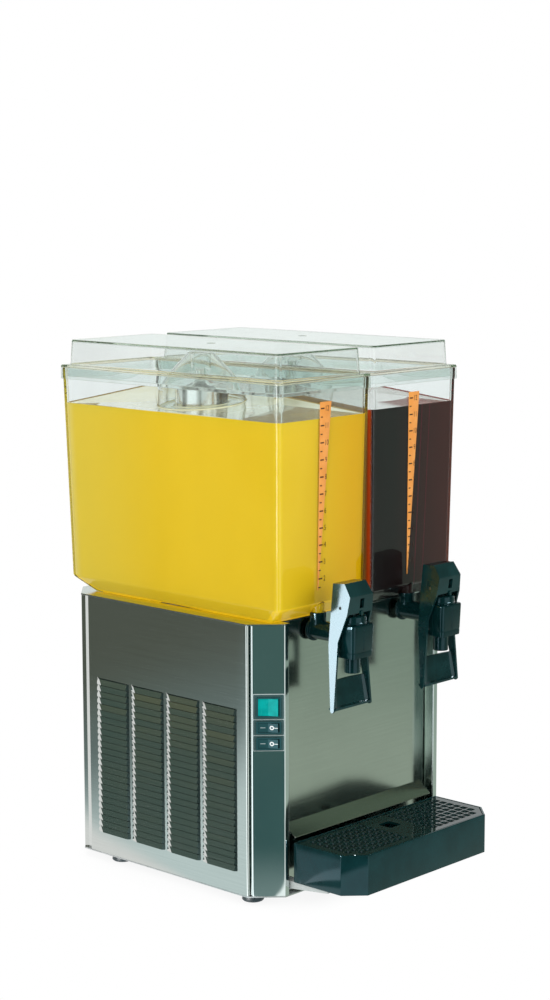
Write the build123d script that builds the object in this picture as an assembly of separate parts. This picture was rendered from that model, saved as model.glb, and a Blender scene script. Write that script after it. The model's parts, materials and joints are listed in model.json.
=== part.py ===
from build123d import *
import math
import os

# Twin-bowl refrigerated juice dispenser.
# Millimetres, +Z up, origin at the middle of the footprint on the table.
# The machine faces -Y.  Depths below ("d") are measured backwards from the
# front plane of the cabinet's corner columns.

# ---------------------------------------------------------------- dimensions
FRONT = -136.5          # y of the cabinet's front plane
CAB_HW = 182.5          # cabinet half width
CAB_D = 366.0           # depth of the cabinet body
PANEL_REAR = 318.8      # where the side panels turn in towards the rear corners
CAB_Z0 = 10.0           # underside of the base pan
DECK_Z = 356.0          # top of the deck
CORNER = 33.3           # 45 degree corner chamfer
SHEET = 1.2             # sheet steel
RECESS = 15.0           # front panel set back behind the columns
RECESS_HW = 141.3       # half width of that recess

FOOT_R = 14.0
FEET = [(-160, 45), (160, 45), (-160, 283), (160, 283)]

LOUVRE_Z0, LOUVRE_PITCH, LOUVRE_N = 40.5, 8.28, 25
LOUVRE_COLS = [(51.5, 107.7), (116.0, 172.2), (180.4, 236.6), (244.8, 301.0)]

BOWL_X = 86.6           # bowl centre from the middle
BOWL_Z1 = 650.0         # bowl rim height
# bowl outlines: width, length, centre depth, corner radius, height
BOWL_OUT = [(143.8, 317.0, 172.5, 4.0, 356.4), (158.8, 373.4, 181.3, 4.5, 373.5), (167.8, 387.7, 183.75, 5.0, BOWL_Z1)]
BOWL_INN = [(139.9, 315.2, 172.7, 6.0, 359.4), (152.8, 367.4, 181.3, 8.0, 374.8), (161.93, 381.8, 183.8, 9.0, 654.0)]
BOWL_T = 3.0
BOWL_HOLE = 58.0
SCALE = {"left": (-9.6, -9.6, 391.0), "right": (-10.0, -12.9, 388.0)}   # level scale: foot x, top x, foot z

LID_W, LID_L, LID_Z = 171.3, 391.2, 653.4    # lid rim
LID_D = 183.75
LID_FLARE = 0.7         # the skirt is this much wider at its lower edge
LID_SKIRT = 635.0
LID_TOP = 685.8
LID_TW, LID_TL, LID_TD = 149.2, 371.0, 184.3  # raised middle

EVAP_D = 202.0          # evaporator axis depth
EVAP_R = 34.0
BELL_R = 56.0

TAP_D = -54.5           # valve axis depth
TAP_Z = 339.5           # tap tube axis height
SPIGOT_D = 2.0          # bowl outlet axis depth
PIN_Z = 377.0           # lever pin height
ARM_HW, ARM_SLOPE, ARM_ZREF = 21.5, 0.1025, 391.0   # lever half width and splay
ARM_T = 3.0

TRAY_HW, TRAY_D0, TRAY_D1 = 140.0, -106.7, -5.5
TRAY_Z0, TRAY_Z1, TRAY_C, TRAY_T = 28.5, 79.3, 23.65, 2.6
GRID_PITCH, GRID_HOLE = 11.5, 8.4

SWITCH_U = 3.4          # switch column offset along the chamfer face
SWITCHES = [("main_rocker", 252.6, 31.0, 25.4), ("left_rocker", 227.1, 31.0, 15.0),
            ("right_rocker", 207.0, 31.0, 15.0)]
ROCK = 9.0              # rocker tilt either side of level, degrees

os.makedirs("parts", exist_ok=True)


# ------------------------------------------------------------------- helpers
def fy(d):
    return FRONT + d


def bx(x0, x1, d0, d1, z0, z1):
    return Pos((x0 + x1) / 2, fy((d0 + d1) / 2), (z0 + z1) / 2) * Box(
        abs(x1 - x0), abs(d1 - d0), abs(z1 - z0))


def plan(points, z0, z1):
    """Prism from (x, d) points."""
    w = Wire.make_polygon([(x, fy(d), z0) for x, d in points], close=True)
    return Solid.extrude(Face(w), Vector(0, 0, z1 - z0))


def side(points, x0, x1):
    """Prism from (d, z) points along X."""
    w = Wire.make_polygon([(x0, fy(d), z) for d, z in points], close=True)
    return Solid.extrude(Face(w), Vector(x1 - x0, 0, 0))


def front(points, d0, d1):
    """Prism from (x, z) points along the depth."""
    w = Wire.make_polygon([(x, fy(d0), z) for x, z in points], close=True)
    return Solid.extrude(Face(w), Vector(0, d1 - d0, 0))


def cz(x, d, z0, z1, r):
    return Pos(x, fy(d), (z0 + z1) / 2) * Cylinder(r, z1 - z0)


def cy(x, d0, d1, z, r):
    return Pos(x, fy((d0 + d1) / 2), z) * Rot(90, 0, 0) * Cylinder(r, abs(d1 - d0))


def cx(x0, x1, d, z, r):
    return Pos((x0 + x1) / 2, fy(d), z) * Rot(0, 90, 0) * Cylinder(r, abs(x1 - x0))


def rr(x, d, w, l, r, z):
    return Pos(x, fy(d), z) * RectangleRounded(w, l, r)


def turned(pts):
    """Solid of revolution about Z from (r, z) points."""
    return revolve(make_face(Polyline(*[(r, 0, z) for r, z in pts], close=True)), Axis.Z)


def spin(x, d, pts):
    """Solid of revolution about the vertical through (x, d) from (r, z) points."""
    return Pos(x, fy(d), 0) * turned(pts)


def strip(points, t):
    """Closed outline of a bent sheet: the points are its outer line, and the
    thickness t lies to the right of the direction of travel."""
    n = len(points)
    inner = []
    for i in range(n):
        x, y = points[i]
        dirs = []
        if i > 0:
            dx, dy = x - points[i - 1][0], y - points[i - 1][1]
            m = math.hypot(dx, dy)
            dirs.append((dx / m, dy / m))
        if i < n - 1:
            dx, dy = points[i + 1][0] - x, points[i + 1][1] - y
            m = math.hypot(dx, dy)
            dirs.append((dx / m, dy / m))
        norms = [(b, -a) for a, b in dirs]
        nx, ny = sum(v[0] for v in norms), sum(v[1] for v in norms)
        m = math.hypot(nx, ny)
        nx, ny = nx / m, ny / m
        c = nx * norms[0][0] + ny * norms[0][1]
        inner.append((x + nx * t / c, y + ny * t / c))
    return list(points) + inner[::-1]


def group(shapes):
    return Compound(children=[Solid(s.solids()[0].wrapped) for s in shapes])


def one(shape):
    s = shape.solids()
    return s[0] if len(s) == 1 else shape


def save(name, shape):
    export_step(one(shape), "parts/%s.step" % name)
    print(name, len(shape.solids()), round(shape.volume / 1000, 2))


def flip(shape):
    return mirror(shape, Plane.YZ)


# ------------------------------------------------------------------- cabinet
H, D, C = CAB_HW, CAB_D, CORNER
octagon = [(-H, C), (-H + C, 0), (H - C, 0), (H, C), (H, D - C), (H - C, D), (-H + C, D), (-H, D - C)]
base = plan(octagon, CAB_Z0, CAB_Z0 + 2)
up = [(-174.6, 328), (-174.6, 64), (-137, 30), (137, 30), (174.6, 64), (174.6, 328), (144, 359), (-144, 359)]
up_in = [(-173.0, 327.3), (-173.0, 64.8), (-136.4, 31.6), (136.4, 31.6), (173.0, 64.8), (173.0, 327.3), (143.3, 357.4),
         (-143.3, 357.4)]
rim = plan(up, CAB_Z0 + 1, CAB_Z0 + 14) - plan(up_in, CAB_Z0, CAB_Z0 + 15)
save("base_pan", base + rim)

feet = []
for x, d in FEET:
    feet.append(spin(x, d, [(0, 0), (FOOT_R - 1.5, 0), (FOOT_R, 1.5), (FOOT_R - 1.2, CAB_Z0), (0, CAB_Z0)]))
save("rubber_feet", group(feet))

deck = plan(octagon, DECK_Z - 2, DECK_Z)
deck -= bx(-RECESS_HW + 0.6, RECESS_HW - 0.6, -5, 14.0, DECK_Z - 5, DECK_Z + 5)
for s in (-1, 1):
    deck -= cz(s * BOWL_X, EVAP_D, DECK_Z - 5, DECK_Z + 5, EVAP_R + 0.2)
save("top_deck", deck)

Z0, Z1 = CAB_Z0 + 2, DECK_Z - 2
col_line = [(-RECESS_HW, 24.0), (-RECESS_HW, 0.0), (-H + C, 0.0), (-H + 4.0, C - 4.0), (-H + 4.0, 60.0)]
column = plan(strip(col_line, SHEET), Z0, Z1)
left_column = column
for name, z, w, h in SWITCHES:
    cut = Pos(-H + C / 2, fy(C / 2), z) * Rot(0, 0, -45) * Pos(SWITCH_U, 0, 0) * Box(w - 3.0, 12, h - 2.0)
    left_column = left_column - cut
save("front_left_column", left_column)
save("front_right_column", flip(column))

fp = plan(strip([(-RECESS_HW + 1.6, 26.0), (-RECESS_HW + 1.6, RECESS), (RECESS_HW - 1.6, RECESS),
                 (RECESS_HW - 1.6, 26.0)][::-1], 1.0), Z0, Z1)
save("front_panel", fp)

save("splash_plate", side([(RECESS, 98.9), (-3.0, 84.9), (-3.5, 83.7), (-2.4, 83.3), (-2.0, 84.2), (RECESS, 97.4)],
                          -134.5, 131.5))

panel = plan(strip([(-H + 3.6, C + 0.3), (-H, C + 0.3), (-H, PANEL_REAR), (-H + 3.6, PANEL_REAR + 9.4)], 1.0), Z0, Z1)
slots = []
for a, b in LOUVRE_COLS:
    for i in range(LOUVRE_N):
        z = LOUVRE_Z0 + i * LOUVRE_PITCH
        slots.append(bx(-H - 1, -H + 1.5, a + 1.5, b - 1.5, z + 0.6, z + 4.2))
panel = panel - slots
save("left_side_panel", panel)
save("right_side_panel", flip(panel))

rear = plan(strip([(-H + 5.0, 305.0), (-H + 5.0, D - C + 5.0), (-H + C, D), (H - C, D), (H - 5.0, D - C + 5.0),
                   (H - 5.0, 305.0)], SHEET), Z0, Z1)
GLAND_X, GLAND_Z = -110.0, 48.0
rear -= cy(GLAND_X, D - 10, D + 10, GLAND_Z, 8.2)
vents = []
for s in (-1, 1):
    for i in range(12):
        z = 90 + i * 12
        vents.append(bx(s * 58 - 42, s * 58 + 42, D - 6, D + 3, z, z + 4))
rear = rear - vents
save("rear_panel", rear)

heads = []
for x in (-138, 0, 138):
    for z in (24, 342):
        h = cy(x, D, D + 2.2, z, 3.8)
        heads.append(h - bx(x - 3, x + 3, D + 1.2, D + 3, z - 0.5, z + 0.5))
save("panel_screws", group(heads))

gland = cy(GLAND_X, D, D + 3.5, GLAND_Z, 11.5) + cy(GLAND_X, D - 10, D + 11, GLAND_Z, 8.0)
gland -= cy(GLAND_X, D - 20, D + 20, GLAND_Z, 4.2)
save("cord_gland", gland)

# brackets that carry the drip tray
arms = []
for s in (-1, 1):
    a = side([(RECESS, 14.0), (RECESS, 28.2), (-60.0, 28.2), (-60.0, 25.6), (2.0, 18.5), (8.0, 14.0)],
             s * 138 if s < 0 else 124, -124 if s < 0 else 138)
    arms.append(a)
save("tray_brackets", group(arms))

# ------------------------------------------------------------- refrigeration
CX, CD, CR = -95.0, 215.0, 60.0
comp = spin(CX, CD, [(0, 30), (CR - 6, 30), (CR, 36), (CR, 98), (CR + 3, 99), (CR + 3, 104), (CR, 105), (CR, 158),
                     (CR - 8, 168), (CR - 28, 174), (0, 175.4)])
plate = bx(CX - 72, CX + 72, CD - 50, CD + 50, 26, 30)
save("compressor", comp + plate)
grom = []
for sx in (-1, 1):
    for sd in (-1, 1):
        grom.append(cz(CX + sx * 62, CD + sd * 42, CAB_Z0 + 2, 26, 9) - cz(CX + sx * 62, CD + sd * 42, 0, 60, 3))
save("compressor_grommets", group(grom))

cond = bx(128, 160, 75, 285, 45, 225)
cond -= [bx(120, 132, 80 + i * 10.0, 84 + i * 10.0, 52, 218) for i in range(20)]
cond += bx(128, 160, 75, 79, CAB_Z0 + 2, 46) + bx(128, 160, 281, 285, CAB_Z0 + 2, 46)
save("condenser", cond)

FD, FZ = 180.0, 145.0
shroud = bx(118, 120, 99.5, 268, CAB_Z0 + 2, 225) - cx(110, 130, FD, FZ, 78)
save("fan_shroud", shroud)
fmot = cx(38, 78, FD, FZ, 27) + bx(36, 38, 165, 195, CAB_Z0 + 2, 165) + bx(10, 38, 165, 195, CAB_Z0 + 2, CAB_Z0 + 4)
fmot -= cx(58, 90, FD, FZ, 3.05)
save("fan_motor", fmot)
blade = cx(82, 100, FD, FZ, 15) + cx(60, 84, FD, FZ, 3.0)
for k in range(5):
    b = Pos(91, fy(FD), FZ) * Rot(72 * k, 0, 0) * Pos(0, 0, 44) * Rot(0, 0, 28) * Box(2.0, 34, 64)
    blade += b
save("fan_blade", blade)

save("filter_drier", Pos(10, fy(95), 28) * Rot(0, 90, 0) * turned(
    [(0, 0), (4, 0), (11, 8), (11, 52), (4, 60), (0, 60)]))


def tube(pts, r, bend):
    p = FilletPolyline(*[(x, fy(d), z) for x, d, z in pts], radius=bend)
    return sweep(Plane(p @ 0, z_dir=p % 0) * Circle(r), path=p)


lines = [
    tube([(-95, 245, 172.5), (-95, 245, 238), (145, 245, 238), (145, 245, 225.2)], 3.2, 10),
    tube([(145, 95, 44.8), (145, 95, 28), (70.2, 95, 28)], 3.2, 10),
    tube([(9.8, 94, 28), (-20, 94, 28), (-20, 94, 340), (-20, 202, 340), (-52.3, 202, 340)], 1.6, 12),
    tube([(9.8, 98, 28), (-8, 98, 28), (-8, 98, 345), (-8, 202, 345), (52.3, 202, 345)], 1.6, 12),
    tube([(-120.9, 202, 340), (-166, 202, 340), (-166, 202, 120), (-155.2, 202, 120)], 3.6, 8),
    tube([(120.9, 202, 340), (150, 202, 340), (150, 310, 340), (-95, 310, 340), (-95, 310, 140), (-95, 275.3, 140)],
         3.6, 12),
]
lines[0] = lines[0] - comp
lines[4] = lines[4] - comp
save("refrigerant_lines", group(lines))

save("thermostat", bx(-132, -92, 20, 48, 288, 330) + bx(-126, -98, RECESS + 1.0, 20, 300, 318))

# --------------------------------------------------------------- switch panel
swp = Pos(-H + C / 2, fy(C / 2), 0) * Rot(0, 0, -45)      # local x along the face, local y inwards
sheet = Pos(SWITCH_U, -0.3, 233.2) * Box(38.0, 0.6, 71.8)
for name, z, w, h in SWITCHES:
    sheet -= Pos(SWITCH_U, 0, z) * Box(w - 2.6, 6, h - 1.8)
for z in (237.7, 217.5):
    sheet -= Pos(SWITCH_U, -0.6, z) * Box(60, 0.5, 0.7)
save("switch_plate", swp * sheet)
housings = []
for name, z, w, h in SWITCHES:
    hs = Pos(SWITCH_U, -1.4, z) * Box(w, 1.6, h)
    hs = fillet(hs.edges().filter_by(Axis.Y), 1.2)
    hs += Pos(SWITCH_U, 6.1, z) * Box(w - 3.4, 13.4, h - 2.4)
    hs -= Pos(SWITCH_U, 4.2, z) * Box(w - 4.6, 13.6, h - 3.4)
    hs -= Pos(SWITCH_U, 2.0, z) * Cylinder(1.06, h)
    housings.append(swp * hs)
save("switch_housings", group(housings))
for name, z, w, h in SWITCHES:
    a = (w - 4.6) / 2 - 0.95
    pts = [(-a, -3.4), (0, -1.7), (a, -3.4), (a, 1.5), (a * 0.45, 4.5), (-a * 0.45, 4.5), (-a, 1.5)]
    f = make_face(Polyline(*[(u, v, 0) for u, v in pts], close=True))
    r = Pos(0, 0, -(h - 4.2) / 2) * extrude(f, amount=h - 4.2)
    r += Pos(0, 2.0, 0) * Cylinder(1.0, h - 2.8)
    r = Pos(0, 2.0, 0) * Rot(0, 0, -ROCK) * Pos(0, -2.0, 0) * r
    save(name, swp * Pos(SWITCH_U, 0, z) * r)

# ---------------------------------------------------------------- both sides
for sgn, lab in ((-1, "left"), (1, "right")):
    X = sgn * BOWL_X

    # evaporator finger: a stainless tube with a shouldered, domed top and a pin
    evap = spin(X, EVAP_D, [
        (32.4, 330), (EVAP_R, 330), (EVAP_R, 351), (46, 351), (46, 354), (EVAP_R, 354), (EVAP_R, 624), (33.2, 626.4),
        (31, 628.2), (18, 636.0), (8, 639.5), (5, 640), (5, 651), (4, 652), (0, 652), (0, 637), (8, 636.5),
        (17, 633.5), (30, 626), (32.4, 622.5)])
    save(lab + "_evaporator", evap)
    seal = spin(X, EVAP_D, [(EVAP_R + 0.05, 356), (BOWL_HOLE - 0.4, 356), (BOWL_HOLE - 0.4, 360), (BOWL_HOLE - 3, 364),
                            (EVAP_R + 6, 366), (EVAP_R + 0.05, 366)])
    save(lab + "_bowl_seal", seal)

    motor = spin(X, EVAP_D, [(0, 262), (26, 262), (28, 264), (28, 312), (38, 312), (38, 330), (4.06, 330),
                             (4.06, 298), (0, 298)])
    save(lab + "_drive_motor", motor)
    rotor = spin(X, EVAP_D, [(0, 300), (4, 300), (4, 590), (9, 592), (9, 598), (28, 598), (28, 615), (26, 616.5),
                             (0, 616.5)])
    save(lab + "_magnet_rotor", rotor)

    # clear bell stirrer with two blades under its skirt
    bell = spin(X, EVAP_D, [
        (0, 675), (13.5, 675), (16.5, 673.6), (38, 650.5), (47, 640), (53, 632.5), (BELL_R, 625), (BELL_R, 585),
        (54, 585), (54, 624.5), (51.2, 631.4), (45.3, 638.9), (36.2, 649.4), (15.4, 671.8), (13, 672.8), (0, 672.8)])
    hub = spin(X, EVAP_D, [(0, 672.0), (0, 673.0), (13.2, 673.0), (13.2, 650), (8, 650), (8, 641), (5.06, 641),
                           (5.06, 653), (11.2, 653), (11.2, 672)])
    stir = bell + hub
    for k in (0, 1):
        stir += Pos(X, fy(EVAP_D), 0) * Rot(0, 0, 40 + 180 * k) * Pos(52.7, 0, 481) * Box(2.2, 16, 212)
    stir += spin(X, EVAP_D, [(50, 371), (54, 371), (54, 378), (50, 378)])
    save(lab + "_stirrer", stir)

    # bowl
    outer = loft([rr(X, c, w, l, r, z) for w, l, c, r, z in BOWL_OUT], ruled=True)
    inner = loft([rr(X, c, w, l, r, z) for w, l, c, r, z in BOWL_INN], ruled=True)
    spig = cz(X, SPIGOT_D, 346.5, 372, 8.0)
    bowl = outer + spig
    bowl = bowl - inner - cz(X, EVAP_D, 340, 380, BOWL_HOLE) - cz(X, SPIGOT_D, 340, 380, 5.6)
    save(lab + "_bowl", bowl)

    # level scale on the front wall
    wall = [(c - l / 2, z) for w, l, c, r, z in BOWL_OUT]
    lean = (wall[1][0] - wall[2][0]) / (wall[2][1] - wall[1][1])
    d_at = lambda z: wall[1][0] - lean * (z - wall[1][1])
    za, zb = 390.0, 624.0
    slab = side([(d_at(za) - 0.02, za), (d_at(zb) - 0.02, zb), (d_at(zb) - 0.45, zb), (d_at(za) - 0.45, za)], X - 40, X + 40)
    foot_x, top_x, foot_z = SCALE[lab]
    wedge = front([(X + foot_x, foot_z), (X + foot_x + 1.5, foot_z), (X + top_x + 21.0, zb), (X + top_x, zb)], -20, 20)
    save(lab + "_level_scale", slab & wedge)

    # lid
    rimo = loft([rr(X, LID_D, LID_W + LID_FLARE, LID_L + LID_FLARE, 5.6, LID_SKIRT),
                 rr(X, LID_D, LID_W, LID_L, 5.3, LID_Z)], ruled=True)
    rimo -= loft([rr(X, LID_D, LID_W - 2.3, LID_L - 2.3, 4.6, LID_SKIRT - 1), rr(X, LID_D, LID_W - 3.0, LID_L - 3.0, 4.3, 650.4)],
                 ruled=True)
    mw, ml = BOWL_OUT[2][0] - 2 * BOWL_T, BOWL_OUT[2][1] - 2 * BOWL_T
    lip = extrude(rr(X, LID_D, mw - 1.4, ml - 1.4, 8.6, 638.5), amount=651.5 - 638.5)
    lip -= extrude(rr(X, LID_D, mw - 5.4, ml - 5.4, 6.6, 630), amount=30)
    dome = loft([rr(X, LID_TD, LID_TW + 3.7, LID_TL + 3.7, 7, LID_Z - 0.5), rr(X, LID_TD, LID_TW, LID_TL, 6, LID_TOP)],
                ruled=True)
    hollow = loft([rr(X, LID_TD, LID_TW - 0.8, LID_TL - 0.8, 5, 640), rr(X, LID_TD, LID_TW - 0.8, LID_TL - 0.8, 5, 652),
                   rr(X, LID_TD, LID_TW - 4.6, LID_TL - 4.6, 4, LID_TOP - 2.4)], ruled=True)
    lid = (rimo + lip + dome) - hollow
    save(lab + "_lid", lid)

    # tap: tube with end ring and bowl socket, valve block, nozzle
    tb = cy(X, 13.0, -45.0, TAP_Z, 12.0) + cy(X, 13.0, 9.0, TAP_Z, 14.7)
    tb += cz(X, SPIGOT_D, TAP_Z, 356.0, 10.4)
    block = loft([rr(X, -56.0, 38.0, 33.0, 5, 314.0), rr(X, -56.0, 41.0, 36.0, 5, 355.5)], ruled=True)
    tb += block + cz(X, TAP_D, 294.0, 316.0, 9.8)
    tb -= cz(X, TAP_D, 322.0, 360.0, 13.0)
    tb -= cz(X, TAP_D, 290.0, 330.0, 7.0)
    tb -= cy(X, 9.5, -50.0, TAP_Z, 7.5)
    tb -= cz(X, SPIGOT_D, TAP_Z, 360.0, 8.1)
    save(lab + "_tap_body", tb)
    cap = extrude(rr(X, -56.0, 36.0, 32.0, 6, 355.5), amount=10.5)
    cap = fillet(cap.faces().sort_by(Axis.Z)[-1].edges(), 1.2)
    cap -= cz(X, TAP_D, 350, 370, 4.05)
    save(lab + "_tap_cap", cap)
    stem = cz(X, TAP_D, 324.2, 329.0, 10.5) + cz(X, TAP_D, 322.2, 372.0, 4.0)
    stem += bx(X - 5, X + 5, TAP_D - 5, TAP_D + 5, 367.0, 383.0)
    stem -= cx(X - 20, X + 20, TAP_D, PIN_Z, 2.0)
    save(lab + "_tap_stem", stem)
    save(lab + "_tap_seal", cz(X, TAP_D, 322.2, 324.2, 10.0) - cz(X, TAP_D, 320, 330, 4.02))
    coil = spin(X, TAP_D, [(8.6, 329.2), (10.4, 329.2), (10.4, 355.2), (8.6, 355.2)])
    for i in range(6):
        coil -= spin(X, TAP_D, [(9.4, 330.8 + i * 4.1), (12, 330.8 + i * 4.1), (12, 332.9 + i * 4.1), (9.4, 332.9 + i * 4.1)])
    save(lab + "_tap_spring", coil)
    save(lab + "_lever_pin", cx(X - 22.3, X + 22.3, TAP_D, PIN_Z, 2.0))

    # push lever: wedge head over the stem, two splayed arms, concave paddle
    hw = lambda z: ARM_HW + ARM_SLOPE * (ARM_ZREF - z)
    prof = side([(-40.4, 405.6), (-58.8, 407.0), (-69.2, 391.5), (-66.2, 369.8), (-54.4, 335.0), (-55.6, 250.5),
                 (-53.6, 248.5), (-51.8, 248.5), (-50.2, 250.2), (-40.0, 330.0), (-40.1, 380.0)], X - 45, X + 45)
    env = front([(X - hw(410), 410), (X + hw(410), 410), (X + hw(240), 240), (X - hw(240), 240)], -80, -30)
    lev = prof & env
    gap = front([(X - hw(369.6) + ARM_T, 369.6), (X + hw(369.6) - ARM_T, 369.6), (X + hw(240) - ARM_T, 240),
                 (X - hw(240) + ARM_T, 240)], -80, -30)
    lev = lev - gap
    e = 32.5
    pad_z0, pad_h = 252.0, 34.0
    m0, m1 = -46.2, -50.4
    outline = [ThreePointArc((X - e, fy(m1), pad_z0), (X, fy(m0), pad_z0), (X + e, fy(m1), pad_z0)),
               Line((X + e, fy(m1), pad_z0), (X + e, fy(m1 - 2.6), pad_z0)),
               ThreePointArc((X + e, fy(m1 - 2.6), pad_z0), (X, fy(m0 - 2.6), pad_z0), (X - e, fy(m1 - 2.6), pad_z0)),
               Line((X - e, fy(m1 - 2.6), pad_z0), (X - e, fy(m1), pad_z0))]
    face = Face(Wire(outline))
    lean_v = Vector(0, 0.115, 1).normalized()
    paddle = Solid.extrude(face, lean_v * (pad_h / lean_v.Z))
    lipf = plan([(X - 33.2, -51.5), (X + 33.2, -51.5), (X + 33.2, -56.4), (X - 33.2, -56.4)], 251.0, 253.6)
    keep = front([(X - hw(300) + 1.5, 300), (X + hw(300) - 1.5, 300), (X + hw(240) - 1.5, 240),
                  (X - hw(240) + 1.5, 240)], -80, -20)
    lev = lev + (paddle & keep) + (lipf & keep) + (plan([(X - 33.2, -46.0), (X + 33.2, -46.0), (X + 33.2, -52.0),
                                                         (X - 33.2, -52.0)], 251.0, 253.6) & keep)
    lev -= bx(X - 7, X + 7, -64.0, -44.0, 360, 393.0)
    lev -= cx(X - 45, X + 45, TAP_D, PIN_Z, 2.06)
    lev -= bx(X - 1.2, X + 6.2, -75, -60, 375.5, 387.5)
    lev += bx(X + 0.8, X + 4.6, -68.0, -64.5, 366.4, 372.0)
    save(lab + "_tap_lever", lev)

# ------------------------------------------------------------------ drip tray
tw = TRAY_HW
out = [(-tw, TRAY_D1), (-tw, TRAY_D0 + TRAY_C), (-tw + TRAY_C, TRAY_D0), (tw - TRAY_C, TRAY_D0),
       (tw, TRAY_D0 + TRAY_C), (tw, TRAY_D1)]


def inset(t):
    c = TRAY_C - 0.586 * t
    return [(-tw + t, TRAY_D1 - t), (-tw + t, TRAY_D0 + t + c), (-tw + t + c, TRAY_D0 + t),
            (tw - t - c, TRAY_D0 + t), (tw - t, TRAY_D0 + t + c), (tw - t, TRAY_D1 - t)]


tray = plan(out, TRAY_Z0, TRAY_Z1) - plan(inset(TRAY_T), 75.6, TRAY_Z1 + 2) - plan(inset(6.0), TRAY_Z0 + 3, TRAY_Z1 + 2)
save("drip_tray", tray)

grid = plan(inset(TRAY_T + 0.4), 76.0, 79.0)
cells = [bx(-10.5, 10.5, -54.0, -33.0, 70, 85)]
for s in (-1, 1):
    for i in range(9):
        for j in range(7):
            x = s * (29.5 + i * GRID_PITCH)
            d = -21.5 - j * GRID_PITCH
            if abs(x) + abs(d) + GRID_HOLE > 214.6:
                continue
            cells.append(bx(x - GRID_HOLE / 2, x + GRID_HOLE / 2, d - GRID_HOLE / 2, d + GRID_HOLE / 2, 70, 85))
grid = grid - cells
save("drip_grid", grid)
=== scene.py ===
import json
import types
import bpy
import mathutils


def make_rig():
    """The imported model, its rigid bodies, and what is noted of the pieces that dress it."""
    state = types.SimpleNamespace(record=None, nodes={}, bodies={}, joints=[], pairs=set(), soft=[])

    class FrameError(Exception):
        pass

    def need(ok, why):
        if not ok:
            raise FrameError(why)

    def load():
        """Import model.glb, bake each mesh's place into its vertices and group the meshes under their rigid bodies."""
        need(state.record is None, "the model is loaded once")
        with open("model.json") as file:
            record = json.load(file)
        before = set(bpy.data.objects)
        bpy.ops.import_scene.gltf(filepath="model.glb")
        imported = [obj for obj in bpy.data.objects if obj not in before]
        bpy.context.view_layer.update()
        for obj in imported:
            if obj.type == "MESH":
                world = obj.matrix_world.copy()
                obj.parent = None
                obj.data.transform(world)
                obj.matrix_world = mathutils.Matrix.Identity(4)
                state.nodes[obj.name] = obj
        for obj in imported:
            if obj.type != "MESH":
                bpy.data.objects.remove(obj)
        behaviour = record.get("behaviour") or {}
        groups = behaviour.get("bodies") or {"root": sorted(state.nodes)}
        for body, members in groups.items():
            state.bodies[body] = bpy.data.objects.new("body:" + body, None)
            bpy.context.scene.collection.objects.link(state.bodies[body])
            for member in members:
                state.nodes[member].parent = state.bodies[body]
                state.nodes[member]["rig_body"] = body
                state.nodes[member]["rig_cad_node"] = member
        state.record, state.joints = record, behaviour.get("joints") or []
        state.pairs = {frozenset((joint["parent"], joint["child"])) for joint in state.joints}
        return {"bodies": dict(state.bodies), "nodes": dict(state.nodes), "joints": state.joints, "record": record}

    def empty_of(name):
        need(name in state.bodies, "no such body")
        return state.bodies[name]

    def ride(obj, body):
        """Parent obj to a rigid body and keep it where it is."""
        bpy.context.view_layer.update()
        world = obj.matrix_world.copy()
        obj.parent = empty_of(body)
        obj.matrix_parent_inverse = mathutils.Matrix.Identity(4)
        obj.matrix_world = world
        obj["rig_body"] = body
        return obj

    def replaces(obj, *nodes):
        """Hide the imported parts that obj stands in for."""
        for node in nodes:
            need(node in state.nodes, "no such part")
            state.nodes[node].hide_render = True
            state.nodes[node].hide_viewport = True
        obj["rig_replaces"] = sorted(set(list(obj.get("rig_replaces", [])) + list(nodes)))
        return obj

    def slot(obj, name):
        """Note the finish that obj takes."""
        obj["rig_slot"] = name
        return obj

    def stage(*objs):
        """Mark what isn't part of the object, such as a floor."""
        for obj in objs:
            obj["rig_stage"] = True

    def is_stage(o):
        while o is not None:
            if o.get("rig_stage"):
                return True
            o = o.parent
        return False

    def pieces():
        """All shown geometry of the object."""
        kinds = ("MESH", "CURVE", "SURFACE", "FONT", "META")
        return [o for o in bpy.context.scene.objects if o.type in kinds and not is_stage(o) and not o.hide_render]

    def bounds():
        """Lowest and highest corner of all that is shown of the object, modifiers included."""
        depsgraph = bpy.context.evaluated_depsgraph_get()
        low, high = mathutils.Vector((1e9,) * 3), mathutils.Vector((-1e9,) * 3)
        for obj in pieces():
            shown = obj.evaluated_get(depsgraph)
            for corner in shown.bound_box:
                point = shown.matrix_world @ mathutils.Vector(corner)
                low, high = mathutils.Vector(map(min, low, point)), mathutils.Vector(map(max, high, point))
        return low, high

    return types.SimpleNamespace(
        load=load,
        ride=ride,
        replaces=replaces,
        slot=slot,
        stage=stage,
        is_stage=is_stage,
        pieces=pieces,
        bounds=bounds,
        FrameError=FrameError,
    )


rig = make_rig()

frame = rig.load()

import json
import math
import random

import bmesh
import bpy
from mathutils import Matrix, Vector

CAD_BOX = [[float(c) for c in v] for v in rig.bounds()]
scene = bpy.context.scene
nodes = frame["nodes"]
SLOT = {s["node"]: s["material_slot"] for s in frame["record"]["subparts"]}
rnd = random.Random(11)

FRONT = 136.5       # depth of the frame's origin behind the front plane of the columns, mm
BOWL_X, BOWL_D, EVAP_D = 86.6, 183.3, 202.0
TAP_D, TAP_Z, SPIGOT_D, PIN_Z = -54.5, 339.5, 2.0, 377.0
JUICE = {"left": 602.2, "right": 605.0}        # height of the drink in each bowl


def P(x, d, z):
    """Point from x, depth behind the front plane and height, all in mm."""
    return Vector((x * 0.001, (d - FRONT) * 0.001, z * 0.001))


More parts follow.
